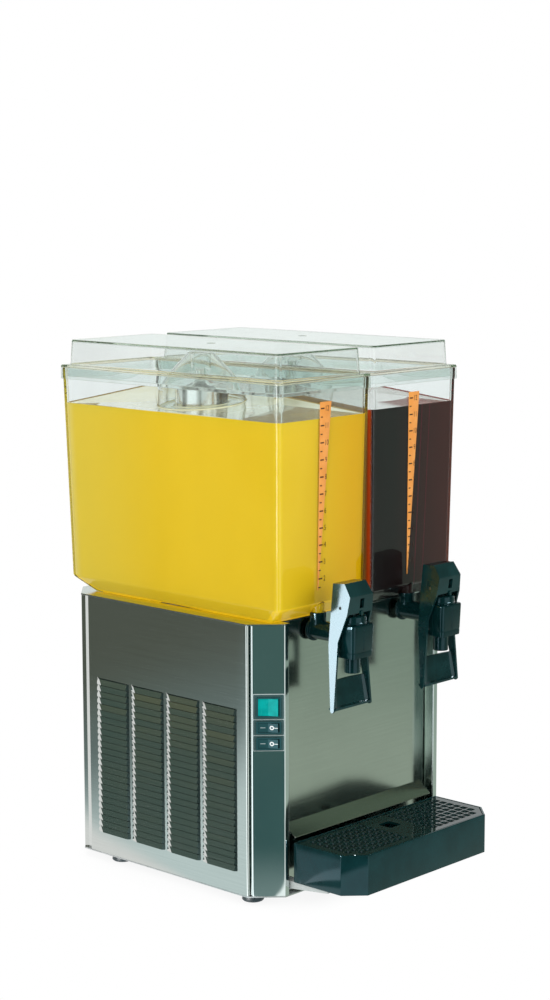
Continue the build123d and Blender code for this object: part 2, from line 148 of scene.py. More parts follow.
# =============================================================== mesh helpers
class MB:
    """A mesh being put together: points, faces and a material number for each face."""

    def __init__(self):
        self.v, self.f, self.mi = [], [], []

    def pts(self, pts):
        i = len(self.v)
        self.v.extend(pts)
        return list(range(i, len(self.v)))

    def face(self, idx, m=0):
        self.f.append(tuple(idx))
        self.mi.append(m)

    def bridge(self, a, b, m=0, closed=True):
        n = len(a)
        for i in range(n if closed else n - 1):
            j = (i + 1) % n
            self.face((a[i], a[j], b[j], b[i]), m)

    def loft(self, rings, m=0, closed=True):
        ids = [self.pts(r) for r in rings]
        for a, b in zip(ids, ids[1:]):
            self.bridge(a, b, m, closed)
        return ids

    def fill(self, loops, m=0):
        """A flat region bounded by closed loops of points that are already in the mesh."""
        bm = bmesh.new()
        key = {}
        edges = []
        for loop in loops:
            vs = []
            for i in loop:
                v = bm.verts.new(self.v[i])
                key[v] = i
                vs.append(v)
            for k in range(len(vs)):
                edges.append(bm.edges.new((vs[k], vs[(k + 1) % len(vs)])))
        bmesh.ops.triangle_fill(bm, use_beauty=True, use_dissolve=False, edges=edges)
        for f in bm.faces:
            self.face([key[v] for v in f.verts], m)
        bm.free()

    def lathe(self, at, prof, n=96, m=0, closed=False, axis="z"):
        """Surface of revolution of (radius, position) points about an axis through at."""
        ids = []
        for r, t in prof:
            if r < 1e-6:
                ids.append(self.pts([self._turn(at, 0.0, t, 0.0, axis)]))
            else:
                ids.append(self.pts([self._turn(at, r, t, 2 * math.pi * k / n, axis) for k in range(n)]))
        pairs = list(zip(ids, ids[1:])) + ([(ids[-1], ids[0])] if closed else [])
        for a, b in pairs:
            if len(a) == 1 and len(b) == 1:
                continue
            if len(a) == 1:
                for k in range(n):
                    self.face((a[0], b[k], b[(k + 1) % n]), m)
            elif len(b) == 1:
                for k in range(n):
                    self.face((a[k], a[(k + 1) % n], b[0]), m)
            else:
                self.bridge(a, b, m)
        return ids

    @staticmethod
    def _turn(at, r, t, ang, axis):
        c, s = r * math.cos(ang), r * math.sin(ang)
        if axis == "z":
            return P(at[0] + c, at[1] + s, t)
        if axis == "y":
            return P(at[0] + c, t, at[1] + s)
        return P(t, at[0] + c, at[1] + s)

    def box(self, x0, x1, d0, d1, z0, z1, m=0, turn=None):
        c = [P(x, d, z) for z in (z0, z1) for d in (d0, d1) for x in (x0, x1)]
        if turn is not None:
            c = [turn @ v for v in c]
        i = self.pts(c)
        for q in ((0, 2, 3, 1), (4, 5, 7, 6), (0, 1, 5, 4), (2, 6, 7, 3), (0, 4, 6, 2), (1, 3, 7, 5)):
            self.face([i[k] for k in q], m)


def build(name, mb, mats, sharp=32.0, recalc=True, merge=1e-6):
    bm = bmesh.new()
    vs = [bm.verts.new(p) for p in mb.v]
    for f, m in zip(mb.f, mb.mi):
        seen = []
        for i in f:
            if vs[i] not in seen:
                seen.append(vs[i])
        if len(seen) > 2:
            try:
                face = bm.faces.new(seen)
            except ValueError:
                continue
            face.material_index = m
            face.smooth = True
    if merge:
        bmesh.ops.remove_doubles(bm, verts=bm.verts, dist=merge)
        bmesh.ops.dissolve_degenerate(bm, dist=merge * 0.5, edges=bm.edges)
    loose = [v for v in bm.verts if not v.link_faces]
    bmesh.ops.delete(bm, geom=loose, context="VERTS")
    if recalc:
        bmesh.ops.recalc_face_normals(bm, faces=bm.faces)
    me = bpy.data.meshes.new(name)
    bm.to_mesh(me)
    bm.free()
    for f in me.polygons:
        f.use_smooth = True
    me.set_sharp_from_angle(angle=math.radians(sharp))
    for m in mats:
        me.materials.append(m)
    o = bpy.data.objects.new(name, me)
    scene.collection.objects.link(o)
    return o


def put(o, body, slot=None, replaces=()):
    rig.ride(o, body)
    if slot:
        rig.slot(o, slot)
    if replaces:
        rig.replaces(o, *replaces)
    return o


def lerp(a, b, t):
    return tuple(x + (y - x) * t for x, y in zip(a, b))


def rounded(pts, rad, n=4):
    """Rounds the corners of a profile. The first and last values of a point are across and up."""
    out = []
    for i, p in enumerate(pts):
        r = rad[i]
        if r <= 0 or i in (0, len(pts) - 1):
            out.append(p)
            continue
        a, b = pts[i - 1], pts[i + 1]
        va = (a[0] - p[0], a[-1] - p[-1])
        vb = (b[0] - p[0], b[-1] - p[-1])
        la, lb = math.hypot(*va), math.hypot(*vb)
        cosang = max(-1.0, min(1.0, (va[0] * vb[0] + va[1] * vb[1]) / (la * lb)))
        turn = math.pi - math.acos(cosang)
        t = min(r * math.tan(turn / 2), 0.46 * la, 0.46 * lb)
        pa, pb = lerp(p, a, t / la), lerp(p, b, t / lb)
        for k in range(n + 1):
            s = k / n
            out.append(tuple((1 - s) ** 2 * x + 2 * s * (1 - s) * y + s * s * w for x, y, w in zip(pa, p, pb)))
    return out


def rring(cx, cd, hw, hl, r, z, nc=8):
    """Rounded rectangle at height z."""
    out = []
    for sx, sd, a0 in ((1, 1, 0), (-1, 1, 90), (-1, -1, 180), (1, -1, 270)):
        for k in range(nc + 1):
            a = math.radians(a0 + 90.0 * k / nc)
            out.append(P(cx + sx * (hw - r) + r * math.cos(a), cd + sd * (hl - r) + r * math.sin(a), z))
    return out


def span(cx, hw, d0, d1, r, z, nc=8):
    """Rounded rectangle at height z between two depths."""
    return rring(cx, (d0 + d1) / 2, hw, (d1 - d0) / 2, r, z, nc)


def circle(cx, cd, r, z, n=96):
    return [P(cx + r * math.cos(2 * math.pi * k / n), cd + r * math.sin(2 * math.pi * k / n), z) for k in range(n)]


def bent_path(pts, r, n=5):
    """Plan polyline with its inner corners rounded to radius r."""
    out = []
    for i, p in enumerate(pts):
        if i in (0, len(pts) - 1):
            out.append(p)
            continue
        rr = r[i] if isinstance(r, (list, tuple)) else r
        a, b = Vector(pts[i - 1]) - Vector(p), Vector(pts[i + 1]) - Vector(p)
        ang = a.angle(b)
        t = rr / math.tan(ang / 2)
        pa, pb = Vector(p) + a.normalized() * t, Vector(p) + b.normalized() * t
        mid = (a.normalized() + b.normalized()).normalized()
        c = Vector(p) + mid * (rr / math.sin(ang / 2))
        a0, a1 = math.atan2(*(pa - c).yx), math.atan2(*(pb - c).yx)
        while a1 - a0 > math.pi:
            a1 -= 2 * math.pi
        while a1 - a0 < -math.pi:
            a1 += 2 * math.pi
        for k in range(n + 1):
            w = a0 + (a1 - a0) * k / n
            out.append((c.x + rr * math.cos(w), c.y + rr * math.sin(w)))
    return out


def cut_path(path, stops):
    """Adds points on the straight runs of a plan path at distances from its start."""
    out, run = [path[0]], 0.0
    for a, b in zip(path, path[1:]):
        l = math.dist(a, b)
        for s in sorted(stops):
            if run + 1e-6 < s < run + l - 1e-6:
                out.append(lerp(a, b, (s - run) / l))
        out.append(b)
        run += l
    return out


def solidify(o, t):
    """Gives an open sheet its thickness, inwards, as real faces."""
    m = o.modifiers.new("sheet", "SOLIDIFY")
    m.thickness = t * 0.001
    m.offset = -1.0
    m.use_even_offset = True
    m.use_quality_normals = True
    return freeze(o)


def freeze(o):
    """Turns the object's modifiers into plain mesh."""
    dg = bpy.context.evaluated_depsgraph_get()
    dg.update()
    me = bpy.data.meshes.new_from_object(o.evaluated_get(dg))
    me.name = o.name
    o.modifiers.clear()
    o.data = me
    return o


def boolean(o, others, op):
    for k in others:
        m = o.modifiers.new("cut", "BOOLEAN")
        m.operation = op
        m.solver = "EXACT"
        m.object = k
        freeze(o)
    for k in others:
        bpy.data.objects.remove(k)
    return o


def soften(o, width, seg=2, angle=30.0, weld=True):
    """Small rounded edges on a carried-over part."""
    if weld:
        w = o.modifiers.new("join", "WELD")
        w.merge_threshold = 1e-6
    b = o.modifiers.new("edges", "BEVEL")
    b.width = width * 0.001
    b.segments = seg
    b.limit_method = "ANGLE"
    b.angle_limit = math.radians(angle)
    b.use_clamp_overlap = True
    b.harden_normals = True
    b.miter_outer = "MITER_ARC"
    return o


# =========================================================== material helpers
class G:
    """A node tree being wired."""

    def __init__(self, tree):
        self.t = tree
        self.t.nodes.clear()

    def n(self, kind, **kw):
        nd = self.t.nodes.new(kind)
        for k, v in kw.items():
            setattr(nd, k, v)
        return nd

    def link(self, a, b):
        self.t.links.new(a, b)

    def put(self, socket, v):
        if hasattr(v, "is_output"):
            self.link(v, socket)
        else:
            socket.default_value = v

    def m(self, op, a, b=None, c=None, clamp=False):
        nd = self.n("ShaderNodeMath", operation=op, use_clamp=clamp)
        for s, v in zip(nd.inputs, (a, b, c)):
            if v is not None:
                self.put(s, v)
        return nd.outputs[0]

    def ramp(self, x, a, b, lo=0.0, hi=1.0, smooth=True):
        nd = self.n("ShaderNodeMapRange", interpolation_type="SMOOTHSTEP" if smooth else "LINEAR", clamp=True)
        self.put(nd.inputs["Value"], x)
        nd.inputs["From Min"].default_value = a
        nd.inputs["From Max"].default_value = b
        nd.inputs["To Min"].default_value = lo
        nd.inputs["To Max"].default_value = hi
        return nd.outputs["Result"]

    def mix(self, fac, a, b, kind="MIX"):
        nd = self.n("ShaderNodeMix", data_type="RGBA", blend_type=kind)
        self.put(nd.inputs[0], fac)
        self.put(nd.inputs[6], a if hasattr(a, "is_output") else (*a, 1.0))
        self.put(nd.inputs[7], b if hasattr(b, "is_output") else (*b, 1.0))
        return nd.outputs[2]

    def obj(self):
        return self.n("ShaderNodeTexCoord").outputs["Object"]

    def scaled(self, co, sx, sy, sz):
        nd = self.n("ShaderNodeMapping")
        self.link(co, nd.inputs["Vector"])
        nd.inputs["Scale"].default_value = (sx, sy, sz)
        return nd.outputs["Vector"]

    def noise(self, co, scale, detail=3.0, rough=0.55, dist=0.0):
        nd = self.n("ShaderNodeTexNoise")
        self.link(co, nd.inputs["Vector"])
        nd.inputs["Scale"].default_value = scale
        nd.inputs["Detail"].default_value = detail
        nd.inputs["Roughness"].default_value = rough
        nd.inputs["Distortion"].default_value = dist
        return nd.outputs["Fac"]

    def bump(self, h, strength, dist):
        nd = self.n("ShaderNodeBump")
        self.link(h, nd.inputs["Height"])
        nd.inputs["Strength"].default_value = strength
        nd.inputs["Distance"].default_value = dist
        return nd.outputs["Normal"]


def shader(name):
    mat = bpy.data.materials.new(name)
    mat.use_nodes = True
    g = G(mat.node_tree)
    b = g.n("ShaderNodeBsdfPrincipled")
    out = g.n("ShaderNodeOutputMaterial")
    g.link(b.outputs[0], out.inputs["Surface"])
    return mat, g, b, out


def brushed(name, col, rough, along="h", vary=0.10, aniso=0.55, scratch=0.05, freq=900.0):
    """Brushed sheet steel. along: h level strokes on upright faces, v upright strokes, y strokes front to back."""
    mat, g, b, _ = shader(name)
    co = g.obj()
    sc = {"h": (7.0, 7.0, freq), "v": (freq, freq, 7.0), "y": (freq, 7.0, 7.0), "x": (7.0, freq, 7.0)}[along]
    st = g.noise(g.scaled(co, *sc), 1.0, 4.0, 0.6)
    fine = g.noise(g.scaled(co, *[k * 2.7 for k in sc]), 1.0, 3.0, 0.6)
    cloud = g.noise(co, 9.0, 3.0)
    s = g.m("ADD", g.m("MULTIPLY", st, 0.6), g.m("MULTIPLY", fine, 0.4))
    dark = tuple(c * (1.0 - vary) for c in col)
    light = tuple(min(1.0, c * (1.0 + vary * 0.7)) for c in col)
    tone = g.mix(g.ramp(s, 0.3, 0.7), dark, light)
    g.link(g.mix(g.ramp(cloud, 0.35, 0.7, 0.0, 0.16), tone, tuple(c * 0.8 for c in col)), b.inputs["Base Color"])
    b.inputs["Metallic"].default_value = 1.0
    g.link(g.m("ADD", g.ramp(s, 0.25, 0.75, rough * 0.82, rough * 1.18), g.ramp(cloud, 0.3, 0.75, 0.0, 0.03)),
           b.inputs["Roughness"])
    b.inputs["Anisotropic"].default_value = aniso
    if along == "h":
        b.inputs["Anisotropic Rotation"].default_value = 0.25
    if along in "hv":
        tn = g.n("ShaderNodeTangent", direction_type="RADIAL", axis="Z")
        g.link(tn.outputs[0], b.inputs["Tangent"])
    g.link(g.bump(s, scratch, 0.00004), b.inputs["Normal"])
    return mat


def polished(name, col, rough=0.07, vary=0.02, scale=14.0, grain=0.02):
    """Bright drawn or polished metal with a faint upright grain."""
    mat, g, b, _ = shader(name)
    co = g.obj()
    a = g.noise(co, scale, 2.0)
    fine = g.noise(g.scaled(co, 900.0, 900.0, 12.0), 1.0, 3.0)
    g.link(g.mix(g.ramp(a, 0.3, 0.7), tuple(c * (1 - vary) for c in col), tuple(min(1.0, c * (1 + vary)) for c in col)),
           b.inputs["Base Color"])
    b.inputs["Metallic"].default_value = 1.0
    g.link(g.ramp(fine, 0.3, 0.75, rough * 0.85, rough * 1.25), b.inputs["Roughness"])
    g.link(g.bump(fine, grain, 0.00002), b.inputs["Normal"])
    return mat


def drawn(name):
    """Deep-drawn bright steel with broad pale and dark upright streaks painted into its colour: painted reflections."""
    mat, g, b, _ = shader(name)
    co = g.obj()
    broad = g.noise(g.scaled(co, 75.0, 75.0, 0.6), 1.0, 1.0)
    fine = g.noise(g.scaled(co, 900.0, 900.0, 6.0), 1.0, 3.0)
    # painted reflections: broad upright bands from dark to near white in the base colour
    tone = g.mix(g.ramp(broad, 0.42, 0.56), (0.20, 0.20, 0.18), (0.97, 0.97, 0.95))
    g.link(g.mix(g.ramp(fine, 0.3, 0.7, 0.0, 0.15), tone, (0.62, 0.62, 0.60)), b.inputs["Base Color"])
    b.inputs["Metallic"].default_value = 1.0
    g.link(g.ramp(fine, 0.3, 0.75, 0.08, 0.14), b.inputs["Roughness"])
    g.link(g.bump(fine, 0.02, 0.00002), b.inputs["Normal"])
    return mat


def moulded(name, col, rough=0.2, vary=0.18, spec=0.5, grain=0.05, scale=420.0, coat=0.0, dust=None, tint=None):
    """Moulded plastic or rubber: faint mottling, fine grain, slightly uneven gloss."""
    mat, g, b, _ = shader(name)
    co = g.obj()
    big = g.noise(co, 38.0, 4.0)
    fine = g.noise(co, scale, 3.0)
    tone = g.mix(g.ramp(big, 0.3, 0.7), tuple(c * (1 - vary) for c in col), tuple(min(1.0, c * (1 + vary)) for c in col))
    if dust is not None:
        tone = g.mix(g.ramp(fine, 0.66, 0.78, 0.0, 0.35), tone, dust)
    g.link(tone, b.inputs["Base Color"])
    g.link(g.m("ADD", g.ramp(big, 0.25, 0.75, rough * 0.8, rough * 1.15), g.ramp(fine, 0.4, 0.7, 0.0, rough * 0.2)),
           b.inputs["Roughness"])
    b.inputs["Specular IOR Level"].default_value = spec
    if tint:
        b.inputs["Specular Tint"].default_value = (*tint, 1.0)
    if coat:
        b.inputs["Coat Weight"].default_value = coat
        b.inputs["Coat Roughness"].default_value = 0.05
    g.link(g.bump(fine, grain, 0.00008), b.inputs["Normal"])
    return mat


def clear(name, tint, density, depth_tint, rough=0.012, ior=1.49, wave=0.05, painted_light=None):
    """Clear moulded plastic: slightly wavy faces, a faint green depth, lamps shine through."""
    mat, g, b, out = shader(name)
    co = g.obj()
    wav = g.noise(g.scaled(co, 30.0, 30.0, 11.0), 1.0, 2.0)
    fine = g.noise(co, 240.0, 2.0)
    tone = g.mix(g.ramp(wav, 0.3, 0.7), tint, tuple(min(1.0, c * 1.015) for c in tint))
    # painted highlight: a thin cream band at the lid's rim in place of the golden reflection of the drink
    if painted_light:
        sep = g.n("ShaderNodeSeparateXYZ")
        g.link(co, sep.inputs[0])
        lo, hi, col = painted_light
        tone = g.mix(g.m("MULTIPLY", g.ramp(sep.outputs[2], lo - 0.0004, lo), g.ramp(sep.outputs[2], hi, hi + 0.0004, 1.0, 0.0)), tone, col)
    g.link(tone, b.inputs["Base Color"])
    b.inputs["Transmission Weight"].default_value = 1.0
    b.inputs["IOR"].default_value = ior
    g.link(g.ramp(fine, 0.3, 0.8, rough * 0.5, rough * 1.6), b.inputs["Roughness"])
    g.link(g.bump(wav, wave, 0.0006), b.inputs["Normal"])
    lp = g.n("ShaderNodeLightPath")
    tr = g.n("ShaderNodeBsdfTransparent")
    tr.inputs["Color"].default_value = (0.94, 0.965, 0.955, 1.0)
    mx = g.n("ShaderNodeMixShader")
    g.link(lp.outputs["Is Shadow Ray"], mx.inputs[0])
    g.link(b.outputs[0], mx.inputs[1])
    g.link(tr.outputs[0], mx.inputs[2])
    g.link(mx.outputs[0], out.inputs["Surface"])
    if density:
        ab = g.n("ShaderNodeVolumeAbsorption")
        ab.inputs["Color"].default_value = (*depth_tint, 1.0)
        ab.inputs["Density"].default_value = density
        g.link(ab.outputs[0], out.inputs["Volume"])
    return mat


def liquid(name, X, body, thin, rough, spec, pulp, painted_light=None, painted_light_q=(0.0, 0.02), painted_light_x=None, rear=False, far=None, back=None,
           flank_painted_reflection=None, streaks=()):
    """Drink behind a wall: an even body colour, painted light where the liquid is thin at the upright corners, painted
    light and shade across the bowl and towards its back, and a painted reflection on the wall that faces the other
    bowl.
    """
    mat, g, b, _ = shader(name)
    co = g.obj()
    rx, ry, qx, qy = from_wall(g, co, X)
    cl = g.noise(g.scaled(co, 6.0, 6.0, 3.0), 1.0, 3.0, 0.5, 0.6)
    pu = g.noise(co, 900.0, 2.0)
    tone = g.mix(g.ramp(cl, 0.3, 0.72), body, thin)
    # painted light and shade across the bowl towards its +x wall: darker in the orange drink, redder and lighter in the
    # dark drink
    if far:
        tone = g.mix(g.ramp(rx, -0.05, 0.078), tone, far)
    # painted light towards the back of the bowl, where light from behind comes through the drink
    if back:
        tone = g.mix(g.ramp(ry, -0.02, 0.185), tone, back)
    tone = g.mix(g.ramp(pu, 0.55, 0.8, 0.0, pulp), tone, tuple(min(1.0, c * 1.15) for c in body))
    # painted light where the drink is thin at the upright corners
    if painted_light:
        if painted_light_x:
            # painted corner light: wide on the wall that faces the other bowl, narrow on the outer wall
            near = g.m("MULTIPLY", g.ramp(qy, painted_light_q[0], painted_light_q[1], 1.0, 0.0), g.ramp(rx, -0.02, 0.02, 1.0, 0.0))
            near = g.m("MAXIMUM", near, g.ramp(qy, 0.003, 0.016, 1.0, 0.0))
            corner = g.m("MULTIPLY", g.ramp(qx, painted_light_x[0], painted_light_x[1], 1.0, 0.0), near)
        else:
            corner = g.ramp(g.m("ADD", qx, qy), painted_light_q[0], painted_light_q[1], 1.0, 0.0)
        if rear:
            corner = g.m("MULTIPLY", corner, g.ramp(ry, 0.0, 0.1))
        tone = g.mix(corner, tone, painted_light)
    if flank_painted_reflection:
        # painted reflection of the orange drink on the wall that faces the other bowl
        wall = g.m("MULTIPLY", g.ramp(qx, 0.0001, 0.0007, 1.0, 0.0), g.ramp(rx, -0.02, 0.02, 1.0, 0.0))
        tone = g.mix(g.m("MULTIPLY", wall, g.ramp(qy, 0.004, 0.009)), tone, flank_painted_reflection)
    for top, low, half in streaks:
        # light that comes through beside the scale, in thin upright lines
        at = g.m("MULTIPLY_ADD", g.m("SUBTRACT", height(g, co), 0.605), (top - low) / 192.0, top * 0.001)
        line = g.ramp(g.m("ABSOLUTE", g.m("SUBTRACT", rx, at)), 0.0, half * 2.2, 0.62, 0.0)
        tone = g.mix(g.m("MULTIPLY", line, g.ramp(qy, 0.001, 0.003, 1.0, 0.0)), tone, (0.17, 0.010, 0.030))
    g.link(tone, b.inputs["Base Color"])
    g.link(g.ramp(pu, 0.3, 0.8, rough * 0.8, rough * 1.3), b.inputs["Roughness"])
    b.inputs["Specular IOR Level"].default_value = spec
    return mat


def height(g, co):
    sep = g.n("ShaderNodeSeparateXYZ")
    g.link(co, sep.inputs[0])
    return sep.outputs[2]


def from_wall(g, co, X):
    """Place in the bowl: across and back from its middle, and distances in from the side and end walls."""
    sep = g.n("ShaderNodeSeparateXYZ")
    g.link(co, sep.inputs[0])
    rx = g.m("SUBTRACT", sep.outputs[0], X * 0.001)
    ry = g.m("SUBTRACT", sep.outputs[1], (BOWL_D - FRONT) * 0.001)
    drop = g.m("SUBTRACT", sep.outputs[2], 0.605)
    qx = g.m("MAXIMUM", g.m("SUBTRACT", g.m("MULTIPLY_ADD", drop, 0.0163, 0.0806), g.m("ABSOLUTE", rx)), 0.0)
    qy = g.m("MAXIMUM", g.m("SUBTRACT", g.m("MULTIPLY_ADD", drop, 0.0258, 0.1900), g.m("ABSOLUTE", ry)), 0.0)
    return rx, ry, qx, qy


def lit_through(name, col, other, glow):
    """Underside of a cloudy drink, with a painted amber glow that stands in for daylight coming through it from above.
    """
    mat, g, b, _ = shader(name)
    co = g.obj()
    g.link(g.mix(g.ramp(g.noise(co, 14.0, 3.0), 0.3, 0.7), col, other), b.inputs["Base Color"])
    g.link(g.ramp(g.noise(co, 900.0, 2.0), 0.3, 0.8, 0.28, 0.45), b.inputs["Roughness"])
    b.inputs["Specular IOR Level"].default_value = 0.05
    # painted glow: emission in place of light that comes through the drink
    b.inputs["Emission Color"].default_value = (1.0, 0.66, 0.012, 1.0)
    b.inputs["Emission Strength"].default_value = glow
    return mat


def surface(name, X, col, other, edge):
    """Top of the drink: a still, glossy sheet whose pale tone is partly a painted reflection of the bright backdrop,
    darker where it climbs the wall.
    """
    mat, g, b, _ = shader(name)
    co = g.obj()
    _x, _y, qx, qy = from_wall(g, co, X)
    cl = g.noise(co, 22.0, 3.0)
    fine = g.noise(co, 90.0, 2.0)
    tone = g.mix(g.ramp(cl, 0.3, 0.7), col, other)
    g.link(g.mix(g.ramp(g.m("MINIMUM", qx, qy), 0.0012, 0.0030, 1.0, 0.0), tone, edge), b.inputs["Base Color"])
    g.link(g.ramp(fine, 0.3, 0.7, 0.16, 0.24), b.inputs["Roughness"])
    b.inputs["IOR"].default_value = 1.36
    b.inputs["Coat Weight"].default_value = 1.0
    b.inputs["Coat IOR"].default_value = 1.7
    b.inputs["Coat Roughness"].default_value = 0.02
    return mat


def speckled(name, col, other, rough, metal, scale, spec=0.5):
    mat, g, b, _ = shader(name)
    co = g.obj()
    a = g.noise(co, scale, 5.0, 0.6)
    c = g.noise(co, scale * 6.0, 3.0)
    g.link(g.mix(g.ramp(a, 0.35, 0.7), col, other), b.inputs["Base Color"])
    b.inputs["Metallic"].default_value = metal
    g.link(g.ramp(c, 0.3, 0.7, rough * 0.8, rough * 1.2), b.inputs["Roughness"])
    b.inputs["Specular IOR Level"].default_value = spec
    g.link(g.bump(c, 0.08, 0.0001), b.inputs["Normal"])
    return mat


# ================================================================== materials
M = {}
M["panel_steel"] = brushed("brushed_panel_steel", (0.60, 0.625, 0.60), 0.12, "h", vary=0.05, aniso=0.3, scratch=0.012)
M["front_steel"] = brushed("brushed_front_steel", (0.57, 0.60, 0.55), 0.15, "h", vary=0.05, aniso=0.3, scratch=0.02)
M["deck_steel"] = brushed("brushed_deck_steel", (0.66, 0.68, 0.66), 0.16, "y", vary=0.06, aniso=0.3)
M["polished_steel"] = polished("polished_column_steel", (0.66, 0.71, 0.70), 0.10)
# dark steel for the front end of every louvre hood: painted shade, standing in for a dark open end
M["louvre_mouth"] = polished("shaded_louvre_end_steel", (0.060, 0.085, 0.080), 0.36, 0.08, 40.0)
M["pin_steel"] = polished("dark_pin_steel", (0.20, 0.21, 0.21), 0.30, 0.06, 60.0)
# darker, greener copy of the column steel for the return flanges beside the front panel: painted shade
M["return_steel"] = polished("satin_return_steel", (0.50, 0.60, 0.56), 0.20, 0.06, 30.0)
M["finger_steel"] = drawn("bright_drawn_steel")
M["screw_steel"] = polished("plated_screw_steel", (0.72, 0.72, 0.70), 0.18, 0.08, 300.0, 0.05)
M["spring_steel"] = polished("spring_wire", (0.66, 0.66, 0.66), 0.16, 0.08, 300.0)
M["zinc_pan"] = speckled("zinc_coated_sheet", (0.50, 0.52, 0.52), (0.62, 0.64, 0.64), 0.42, 0.85, 40.0)
M["rubber"] = moulded("foot_rubber", (0.018, 0.040, 0.048), 0.42, 0.25, 0.4, 0.12, 600.0)
M["bracket_grey"] = speckled("grey_powder_coat", (0.50, 0.55, 0.54), (0.56, 0.60, 0.59), 0.45, 0.0, 260.0)
M["gland_plastic"] = moulded("black_gland_plastic", (0.02, 0.022, 0.023), 0.45, 0.2, 0.4, 0.1)
M["compressor_paint"] = speckled("black_enamel", (0.018, 0.018, 0.02), (0.03, 0.03, 0.032), 0.3, 0.0, 80.0)
M["fin_aluminium"] = speckled("plain_fins", (0.62, 0.63, 0.64), (0.72, 0.73, 0.74), 0.38, 1.0, 120.0)
M["motor_steel"] = speckled("grey_enamel", (0.22, 0.23, 0.24), (0.28, 0.29, 0.30), 0.4, 0.0, 120.0)
M["fan_plastic"] = moulded("black_fan_plastic", (0.03, 0.03, 0.032), 0.42, 0.2, 0.4, 0.1)
M["copper"] = speckled("drawn_copper", (0.62, 0.30, 0.17), (0.72, 0.38, 0.22), 0.3, 1.0, 90.0)
M["switch_plate"] = moulded("pale_switch_plate", (0.46, 0.54, 0.54), 0.26, 0.10, 0.5, 0.04)
M["switch_frame"] = moulded("gloss_frame_black", (0.045, 0.090, 0.090), 0.20, 0.12, 0.4, 0.03, tint=(0.7, 0.9, 0.95))
M["switch_black"] = moulded("gloss_switch_black", (0.022, 0.078, 0.085), 0.18, 0.12, 0.5, 0.03, tint=(0.55, 0.86, 1.0))
M["switch_rocker"] = moulded("gloss_rocker_black", (0.020, 0.072, 0.078), 0.16, 0.12, 0.5, 0.03, tint=(0.55, 0.86, 1.0))
M["seal_rubber"] = moulded("grey_silicone", (0.20, 0.20, 0.19), 0.45, 0.15, 0.4, 0.1)
M["magnet"] = speckled("sintered_magnet", (0.09, 0.09, 0.095), (0.14, 0.14, 0.145), 0.5, 0.8, 260.0)
M["tap_black"] = moulded("gloss_tap_black", (0.0008, 0.0125, 0.0130), 0.12, 0.22, 0.42, 0.03, 300.0, tint=(0.55, 0.86, 1.0))
M["lever_black"] = moulded("gloss_lever_black", (0.0030, 0.0225, 0.0235), 0.10, 0.22, 0.6, 0.02, 260.0, tint=(0.74, 0.91, 1.0))
M["stem_plastic"] = moulded("stem_acetal", (0.035, 0.06, 0.06), 0.35, 0.2, 0.5, 0.05)
M["tray_black"] = moulded("gloss_tray_black", (0.0025, 0.022, 0.024), 0.11, 0.20, 0.5, 0.02, 240.0, tint=(0.55, 0.86, 1.0))
M["grid_black"] = moulded("gloss_grid_black", (0.0012, 0.0125, 0.0125), 0.05, 0.20, 0.5, 0.006, 240.0, tint=(0.8, 0.95, 1.0))
M["brass"] = polished("turned_brass", (0.80, 0.62, 0.30), 0.2, 0.08, 400.0)
M["clear_plastic"] = clear("clear_bowl_plastic", (0.938, 0.968, 0.970), 5.0, (0.55, 0.72, 0.60))
# the lid's rim band between 650.5 and 653.5 mm carries a painted golden highlight
M["clear_lid"] = clear("clear_lid_plastic", (0.938, 0.962, 0.955), 5.0, (0.55, 0.70, 0.58), painted_light=(0.6505, 0.6535, (0.87, 0.84, 0.70)))
M["clear_stirrer"] = clear("clear_stirrer_plastic", (0.96, 0.975, 0.97), 6.0, (0.6, 0.72, 0.66), 0.02)


def green_mat():
    mat, g, b, _ = shader("green_lens")
    co = g.obj()
    a = g.noise(co, 90.0, 4.0)
    rib = g.noise(g.scaled(co, 500.0, 500.0, 60.0), 1.0, 2.0)
    g.link(g.mix(g.ramp(a, 0.3, 0.7), (0.0, 0.235, 0.222), (0.001, 0.33, 0.31)), b.inputs["Base Color"])
    g.link(g.ramp(rib, 0.3, 0.7, 0.16, 0.28), b.inputs["Roughness"])
    b.inputs["Specular Tint"].default_value = (0.3, 1.0, 1.0, 1.0)
    b.inputs["Emission Color"].default_value = (0.0, 0.42, 0.36, 1.0)
    b.inputs["Emission Strength"].default_value = 0.12
    g.link(g.bump(rib, 0.08, 0.0002), b.inputs["Normal"])
    return mat


def film_mat():
    mat, g, b, _ = shader("orange_scale_film")
    co = g.obj()
    a = g.noise(co, 55.0, 4.0)
    f = g.noise(co, 900.0, 2.0)
    g.link(g.mix(g.ramp(a, 0.3, 0.7), (0.74, 0.285, 0.052), (0.82, 0.345, 0.08)), b.inputs["Base Color"])
    g.link(g.ramp(f, 0.3, 0.7, 0.34, 0.48), b.inputs["Roughness"])
    b.inputs["Specular IOR Level"].default_value = 0.3
    g.link(g.bump(f, 0.03, 0.00003), b.inputs["Normal"])
    return mat


M["switch_green"] = green_mat()
M["scale_film"] = film_mat()
M["print_dark"] = speckled("dark_print", (0.035, 0.012, 0.006), (0.06, 0.022, 0.010), 0.5, 0.0, 500.0, 0.3)
M["print_white"] = speckled("white_print", (0.80, 0.86, 0.86), (0.90, 0.94, 0.94), 0.45, 0.0, 500.0, 0.3)
M["print_grey"] = speckled("grey_print", (0.30, 0.38, 0.38), (0.38, 0.46, 0.46), 0.5, 0.0, 500.0, 0.3)

# =================================================================== the bowls
BOWL_PROF = [(71.9, 14.0, 331.0, 4.0, 356.4), (79.4, -5.4, 368.0, 4.5, 373.5), (83.9, -10.1, 377.6, 5.0, 650.0),
             (80.9, -7.1, 374.6, 9.0, 650.0), (76.4, -2.4, 365.0, 8.0, 374.8), (69.95, 15.1, 330.3, 6.0, 359.4)]


def slope_z(d):
    """Height of the sloping underside of the bowl's front."""
    return 373.5 - (d + 5.4) * 17.1 / 19.4


